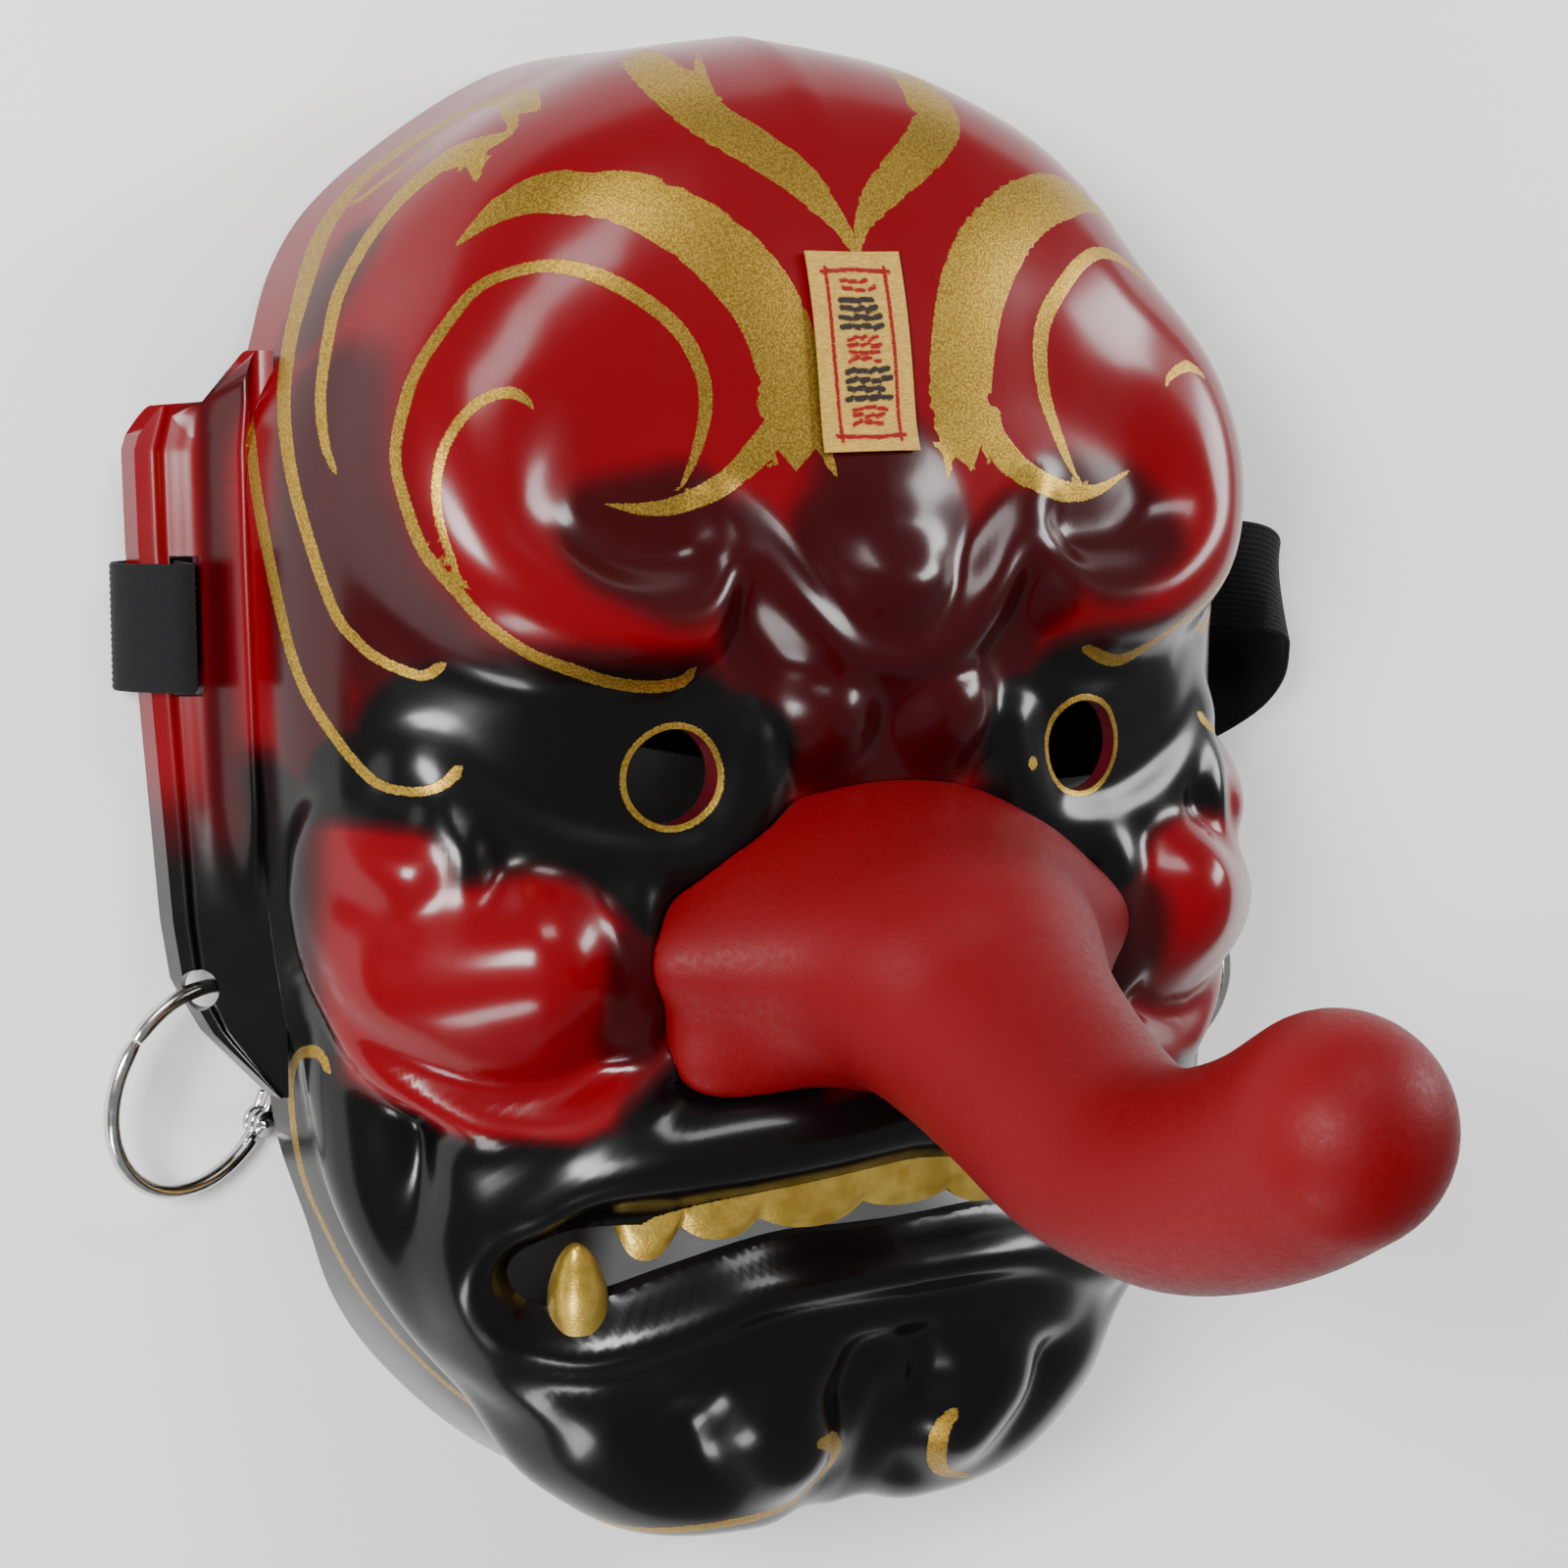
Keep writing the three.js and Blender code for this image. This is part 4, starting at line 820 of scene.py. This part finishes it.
def nose_paint():
    n = Nodes("matte_nose_paint")
    grain = n.noise(900, 4)
    # The shade layer is painted shade: it darkens the red on the nose's underside, bend and tip
    cloud = n.plus(n.layer("shade"), n.spread(n.noise(35, 3), 0.12))
    colour = n.blend(n.step(cloud, 0, 1), (0.135, 0, 0.002), (0.03, 0, 0.0006))
    n.bump(n.plus(grain, n.times(n.noise(2600, 2), 0.6)), 0.22, 0.00025)
    return n.set(Base_Color=colour, Roughness=n.step(grain, 0.3, 0.7, 0.46, 0.56), Specular_IOR_Level=0.15)


def label_paper():
    n = Nodes("label_paper")
    fibre = n.noise(900, 5, (1, 4, 1))
    paper = n.blend(n.step(fibre, 0.35, 0.68), (0.36, 0.21, 0.032), (0.5, 0.31, 0.065))
    paper = n.blend(n.step(n.noise(260, 3), 0.55, 0.75, 0, 0.35), paper, (0.32, 0.17, 0.03))
    rough = n.spread(fibre, 0.9)
    red = n.step(n.plus(n.layer("red_ink"), rough), -0.15, 0.15)
    ink = n.step(n.plus(n.layer("black_ink"), rough), -0.15, 0.15)
    colour = n.blend(ink, n.blend(red, paper, (0.2, 0.001, 0.004)), (0.02, 0.014, 0.012))
    n.bump(fibre, 0.25, 0.0002)
    return n.set(Base_Color=colour, Roughness=0.6, Specular_IOR_Level=0.15)


def floor_paper():
    n = Nodes("floor_paper")
    n.bump(n.noise(400, 4), 0.05, 0.0002)
    return n.set(Base_Color=(0.95, 0.95, 0.95), Roughness=0.75)


def coat(obj, material):
    obj.data.materials.clear()
    obj.data.materials.append(material)


# The paper label: a border and rows of brush strokes
LABEL_W, LABEL_L, LABEL_LOW, LABEL_X = 17.5, 31.0, 48.5, -1.8
LABEL_LIFT, LABEL_THICK = 0.75, 0.3
LABEL_BORDER = [[(-5.5, 28.4), (-5.7, 15), (-5.4, 1.8)], [(5.5, 28.4), (5.7, 15), (5.4, 1.8)],
                [(-6.3, 27.8), (0, 28.2), (6.3, 27.8)], [(-6.3, 2.5), (0, 2.2), (6.3, 2.5)]]


def mark_rows(heights, reach, seed):
    """Rows of short slanting strokes across the label."""
    rng = np.random.default_rng(seed)
    lines = []
    for y in heights:
        x = -reach + rng.uniform(0, 0.5)
        while x < reach - 0.8:
            size = rng.uniform(0.9, 1.9)
            lines.append([(x, y + rng.uniform(-0.25, 0.25)), (x + size, y + rng.uniform(-0.1, 0.5))])
            x += size + rng.uniform(0.5, 0.9)
    return lines


LABEL_RED = LABEL_BORDER + mark_rows((26.3, 25.1, 17.4, 16.3, 15.2, 14.1, 6.6, 5.5, 4.4), 3.0, 3)
LABEL_BLACK = mark_rows((23.4, 22, 20.6, 19.2, 12.4, 11, 9.6, 8.2), 3.9, 5)


def build_label():
    across = np.linspace(-LABEL_W / 2, LABEL_W / 2, 61)
    up = np.linspace(0, LABEL_L, 111)
    u, v = np.meshgrid(across + LABEL_X, up + LABEL_LOW)
    lift = np.maximum(even_relief(u, v), 0) + LABEL_LIFT
    top, back = on_face(u, v, lift + LABEL_THICK), on_face(u, v, lift)
    rows = [np.vstack([t, b[::-1]]) for t, b in zip(top, back)]
    label = new_object("label", *wrap(rows), smooth_shade=False)
    flat_u = np.append(np.tile(np.append(across, across[::-1]), len(up)), [0, 0])
    flat_v = np.append(np.repeat(up, 2 * len(across)), [0, LABEL_L])

    def ink(lines, half):
        best = np.full_like(flat_u, -4.0)
        for line in lines:
            for a, b in zip(line, line[1:]):
                best = np.maximum(best, half - along_segment(a, b, flat_u, flat_v)[1])
        return best
    float_layer(label, "red_ink", ink(LABEL_RED, 0.36))
    float_layer(label, "black_ink", ink(LABEL_BLACK, 0.5))
    coat(label, label_paper())
    return label


def swept_tree():
    """Geometry tree that draws a closed profile along a path; the path's layers steer and scale it."""
    tree = bpy.data.node_groups.new("swept_band", "GeometryNodeTree")
    for name, kind in (("Path", "Geometry"), ("Profile", "Object"), ("Half Width", "Float"),
                       ("Thickness", "Float"), ("Caps", "Bool"), ("Finish", "Material")):
        tree.interface.new_socket(name, in_out="INPUT", socket_type="NodeSocket" + kind)
    tree.interface.new_socket("Band", in_out="OUTPUT", socket_type="NodeSocketGeometry")

    def add(kind, **feeds):
        node = tree.nodes.new(kind)
        for name, source in feeds.items():
            tree.links.new(source, node.inputs[name.replace("_", " ")])
        return node

    def layer(name, kind):
        node = add("GeometryNodeInputNamedAttribute")
        node.data_type = kind
        node.inputs["Name"].default_value = name
        return node.outputs["Attribute"]
    sizes = add("NodeGroupInput").outputs
    line = add("GeometryNodeMeshToCurve", Mesh=sizes["Path"])
    steered = add("GeometryNodeSetCurveNormal", Curve=line.outputs[0])
    steered.mode = "FREE"
    tree.links.new(layer("across", "FLOAT_VECTOR"), steered.inputs["Normal"])
    profile = add("GeometryNodeObjectInfo", Object=sizes["Profile"])
    profile = add("GeometryNodeMeshToCurve", Mesh=profile.outputs["Geometry"])
    scale = add("ShaderNodeCombineXYZ", X=sizes["Half Width"], Y=sizes["Thickness"])
    scale.inputs["Z"].default_value = 1
    profile = add("GeometryNodeTransform", Geometry=profile.outputs[0], Scale=scale.outputs[0])
    band = add("GeometryNodeCurveToMesh", Curve=steered.outputs[0], Profile_Curve=profile.outputs[0],
               Scale=layer("swell", "FLOAT"), Fill_Caps=sizes["Caps"])
    whole = add("GeometryNodeRealizeInstances", Geometry=band.outputs[0])
    done = add("GeometryNodeSetMaterial", Geometry=whole.outputs[0], Material=sizes["Finish"])
    add("NodeGroupOutput", Band=done.outputs[0])
    return tree


def draw_along(name, points, across, swell, profile, half_width, thickness, finish, closed=False):
    """Plain mesh of a flat profile drawn along a path of millimetre points."""
    join_up = lambda n, ring: [(i, (i + 1) % n) for i in range(n if ring else n - 1)]
    path = new_object(name, points, [], edges=join_up(len(points), closed))
    path.data.attributes.new("across", "FLOAT_VECTOR", "POINT").data.foreach_set("vector", np.ravel(across))
    float_layer(path, "swell", swell)
    flat = bpy.data.meshes.new("profile")
    flat.from_pydata([(x, y, 0) for x, y in profile], join_up(len(profile), True), [])
    outline = put_in_scene("profile", flat)
    mod = path.modifiers.new("band", "NODES")
    mod.node_group = SWEPT
    socket = {item.name: item.identifier for item in SWEPT.interface.items_tree}
    for label, value in (("Profile", outline), ("Half Width", half_width * MM), ("Thickness", thickness * MM),
                         ("Caps", not closed), ("Finish", finish)):
        mod[socket[label]] = value
    mesh = bpy.data.meshes.new_from_object(path.evaluated_get(bpy.context.evaluated_depsgraph_get()))
    path.modifiers.clear()
    path.data = mesh
    bpy.data.objects.remove(outline)
    for layer in ("across", "swell"):
        if layer in mesh.attributes:
            mesh.attributes.remove(mesh.attributes[layer])
    mesh.shade_smooth()
    return path


SWEPT = swept_tree()

# The elastic strap
STRAP_T, STRAP_LOW, RIBS = 1.3, 0.95, 19
STRAP_LEFT = [(SLOT_X, 13), (96.2, 17), (99.5, 16.4), (103.6, 11.6), (104.8, 6.8), (102, 2.8), (95, 1.8),
              (88, 1.6), (85.2, 3), (88, 4.5), (92.5, 5.6), (95, 8.5)]
STRAP_RIGHT = [(SLOT_X, 13), (96.2, 17), (99.5, 17), (104, 13.4), (107, 9.4), (104, 5), (100.5, 2.4),
               (95.8, 3.2), (94.9, 8.5)]
# Places of its middle and the direction across it
STRAP_TAIL = [
    (-85.2, 22.5, 3, 0, 1, 0), (-78, 22.5, 2.2, 0, 1, 0), (-60, 20.5, 1.1, 0, 1, 0),
    (-20, 10, STRAP_LOW, 0, 1, 0), (30, 0, STRAP_LOW, 0, 1, 0), (70, -4, 1.1, 0, 1, 0),
    (88, -4.5, 1.5, 0, 1, 0), (102, -3, 2.4, 0, 1, 0),
    (114, 2, 5, 0, 0.95, -0.2), (122, 8.5, 9, 0.25, 0.75, -0.5), (124.5, 15, 13, 0.4, 0.55, -0.7),
    (120, 20.5, 15.6, 0.2, 0.9, -0.3), (113, 22.5, 13.6, 0, 1, 0), (107, 22.5, 9.4, 0, 1, 0)]


def ribbed_band(name, path, closed, steps, finish):
    if closed:
        line = closed_curve(path, steps)
        ahead, behind = np.roll(line, -1, 0), np.roll(line, 1, 0)
    else:
        line = curve_through(path, steps)
        ahead, behind = np.vstack([line[1:], line[-1:]]), np.vstack([line[:1], line[:-1]])
    run = (ahead - behind)[:, :3]
    run /= np.linalg.norm(run, axis=1, keepdims=True)
    wide = line[:, 3:6] - run * np.sum(line[:, 3:6] * run, axis=1, keepdims=True)
    wide /= np.linalg.norm(wide, axis=1, keepdims=True)
    across = np.linspace(-1, 1, RIBS * 4 + 1)
    rib = 0.5 * STRAP_T - 0.16 * np.abs(np.sin(across * RIBS * pi / 2)) - 0.1 * smooth(np.abs(across), 0.93, 1)
    profile = np.column_stack([np.append(across, across[::-1]), np.append(-rib, rib[::-1]) / STRAP_T])
    return draw_along(name, line[:, :3], wide, np.ones(len(line)), profile, STRAP_W / 2, STRAP_T, finish, closed)


def build_strap():
    elastic = grained("black_elastic", (1500, 3), (0.5, 0.0003), (0.002, 0.002, 0.0024), (0.008, 0.008, 0.009),
                      Roughness=0.85, Sheen_Weight=0.05, Specular_IOR_Level=0.2)
    strap = ribbed_band("strap", STRAP_TAIL, False, 16, elastic)
    for side, rows in ((-1, STRAP_LEFT), (1, STRAP_RIGHT)):
        loop = [(side * x, STRAP_Y, z, 0, 1, 0) for x, z in rows]
        join_boolean(strap, ribbed_band("loop", loop, True, 8, elastic), "UNION")
    return strap


# Hinged rings below the ears
RING_R, RING_WIRE, RING_TURN, RING_DROP = 17.2, 1.3, radians(-18), radians(12)
CLOSURE, HINGE, PLATE_T, TONGUE_T, HINGE_R, PIN_R, FIT = radians(140), radians(-32), 0.8, 1.2, 2.3, 0.8, 0.3


def ring_frame(side):
    right = np.array([cos(RING_TURN), 0, sin(RING_TURN)])
    up = np.array([0, cos(RING_DROP), sin(RING_DROP)])
    out = np.cross(right, up)
    out /= np.linalg.norm(out)
    right = np.cross(up, out)
    middle = RING_HOLE * [-1, 1, 1] - up * RING_R

    def at(a, r=RING_R, n=0.0):
        return (middle + right * r * cos(a) + up * r * sin(a) + out * n) * [-side, 1, 1]
    return at


def ring_wire(name, at, start, end, finish):
    """Bent wire with its free end rounded."""
    bend = np.linspace(start, end, 60)
    points = np.array([at(a) for a in bend])
    across = np.array([at(a, RING_R + 1) for a in bend]) - points
    swell = np.ones(len(bend))
    swell[-3:] = 0.97, 0.9, 0.75
    turn = np.linspace(0, 2 * pi, 20, endpoint=False)
    profile = np.column_stack([np.cos(turn), np.sin(turn)])
    return draw_along(name, points, across, swell, profile, RING_WIRE, RING_WIRE, finish)


def ring_halves(side, finish):
    at = ring_frame(side)
    gap, pull = FIT / RING_R, (HINGE_R + FIT) / RING_R
    inner = TONGUE_T / 2 + FIT
    disc = lambda n0, n1, r: bar(at(HINGE, RING_R, n0), at(HINGE, RING_R, n1), r, 40)

    def strip(a0, a1, n0, n1):
        near, far = RING_R - RING_WIRE, RING_R + RING_WIRE
        return wrap([[at(a, near, n0), at(a, far, n0), at(a, far, n1), at(a, near, n1)]
                     for a in np.linspace(a0, a1, 8)])
    arm = ring_wire(f"ring_arm_{side}", at, HINGE + pull, CLOSURE - gap / 2, finish)
    for s in (-1, 1):
        near, far = s * inner, s * (inner + PLATE_T)
        unite(arm, disc(near, far, HINGE_R))
        unite(arm, strip(HINGE, HINGE + 2 * pull, near, far))
    pin_end = inner + PLATE_T + 0.3
    unite(arm, disc(-pin_end, pin_end, PIN_R))
    back = 2 * pi + HINGE
    gate = ring_wire(f"ring_gate_{side}", at, back - 1.25 * pull, CLOSURE + gap / 2, finish)
    half = TONGUE_T / 2
    unite(gate, strip(back - 1.6 * pull, back, -half, half))
    unite(gate, disc(-half, half, HINGE_R))
    cut(gate, disc(-3, 3, PIN_R + FIT))
    return arm, gate


# Floor, camera and lamps
YAW, PITCH, ROLL = 0.55850536, 0.13962634, 0.08028515
CAMERA_PLACE = (19.6, -10.1, 667)
FOCAL_PX, FRAME_PX, SENSOR = 3932, 1600, 36
WORLD_LIGHT = 0.3
FLOOR_HALF, FLOOR_LOW = 3000, -0.3


def place_camera():
    cy, sy, cp, sp, cr, sr = cos(YAW), sin(YAW), cos(PITCH), sin(PITCH), cos(ROLL), sin(ROLL)
    across = Vector((cy, 0, -sy))
    front = Vector((sy * cp, -sp, cy * cp))
    up = front.cross(across)
    turn = Matrix((across, up, front)).transposed()
    turn = Matrix(((cr, -sr, 0), (sr, cr, 0), (0, 0, 1))) @ turn
    back = turn.transposed()
    place = back @ Vector(CAMERA_PLACE) + Vector(SHIFT)
    data = bpy.data.cameras.new("camera")
    data.sensor_width = SENSOR
    data.lens = FOCAL_PX * SENSOR / FRAME_PX
    data.clip_start = 0.01
    cam = put_in_scene("camera", data)
    matrix = back.to_4x4()
    matrix.translation = place * MM
    cam.matrix_world = matrix
    bpy.context.scene.camera = cam


# (name, place, width, height, watts)
LAMPS = [("key", (-0.78, 0.2, 0.75), 0.3, 0.3, 17), ("right", (0.85, 0.35, 0.45), 0.22, 0.5, 8),
         ("top", (0, 1, 0.9), 0.5, 0.3, 6.5), ("low", (-0.55, -0.85, 0.45), 0.22, 0.35, 5)]


def place_lights():
    world = bpy.data.worlds.new("room")
    bpy.context.scene.world = world
    world.use_nodes = True
    colour, strength = world.node_tree.nodes["Background"].inputs[:2]
    colour.default_value = (1, 1, 1, 1)
    strength.default_value = WORLD_LIGHT
    for name, place, wide, tall, power in LAMPS:
        data = bpy.data.lights.new(name, "AREA")
        data.shape, data.size, data.size_y, data.energy = "RECTANGLE", wide, tall, power
        lamp = put_in_scene(name, data)
        lamp.location = place
        lamp.rotation_euler = (Vector((0, 0, 0.05)) - Vector(place)).to_track_quat("-Z", "Y").to_euler()


def finish_piece(obj, body, slot, *nodes):
    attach(obj, body)
    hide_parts(*nodes)


place_camera()
LACQUER, INNER, WALL_RED, WALL_BLACK, TOOTH = range(5)
SHELL_FINISHES = shell_finishes()
face, *skin = build_face()
paint_layers(face, *skin)
finish_piece(face, "mask", "painted_shell", "mask_shell")
nose = build_nose(skin[0])
coat(nose, nose_paint())
finish_piece(nose, "mask", "matte_nose", "nose")
finish_piece(build_label(), "mask", "paper_label", "talisman_label")
finish_piece(build_strap(), "mask", "elastic", "elastic_strap")
metal = grained("nickel_plate", (700, 4), (0.06, 0.0002), (0.5, 0.49, 0.48), (0.72, 0.71, 0.7),
                (0.3, 0.75, 0.13, 0.26), Metallic=1.0)
for side, word in ((-1, "left"), (1, "right")):
    arm, gate = ring_halves(side, metal)
    coat(arm, metal)
    coat(gate, metal)
    finish_piece(arm, "mask", "plated_steel", f"ring_{word}_arm")
    finish_piece(gate, f"gate_{word}", "plated_steel", f"ring_{word}_gate")
corners = [(x * FLOOR_HALF, y * FLOOR_HALF, FLOOR_LOW) for x, y in ((-1, -1), (1, -1), (1, 1), (-1, 1))]
floor = new_object("floor", corners, [(0, 1, 2, 3)])
coat(floor, floor_paper())
place_lights()
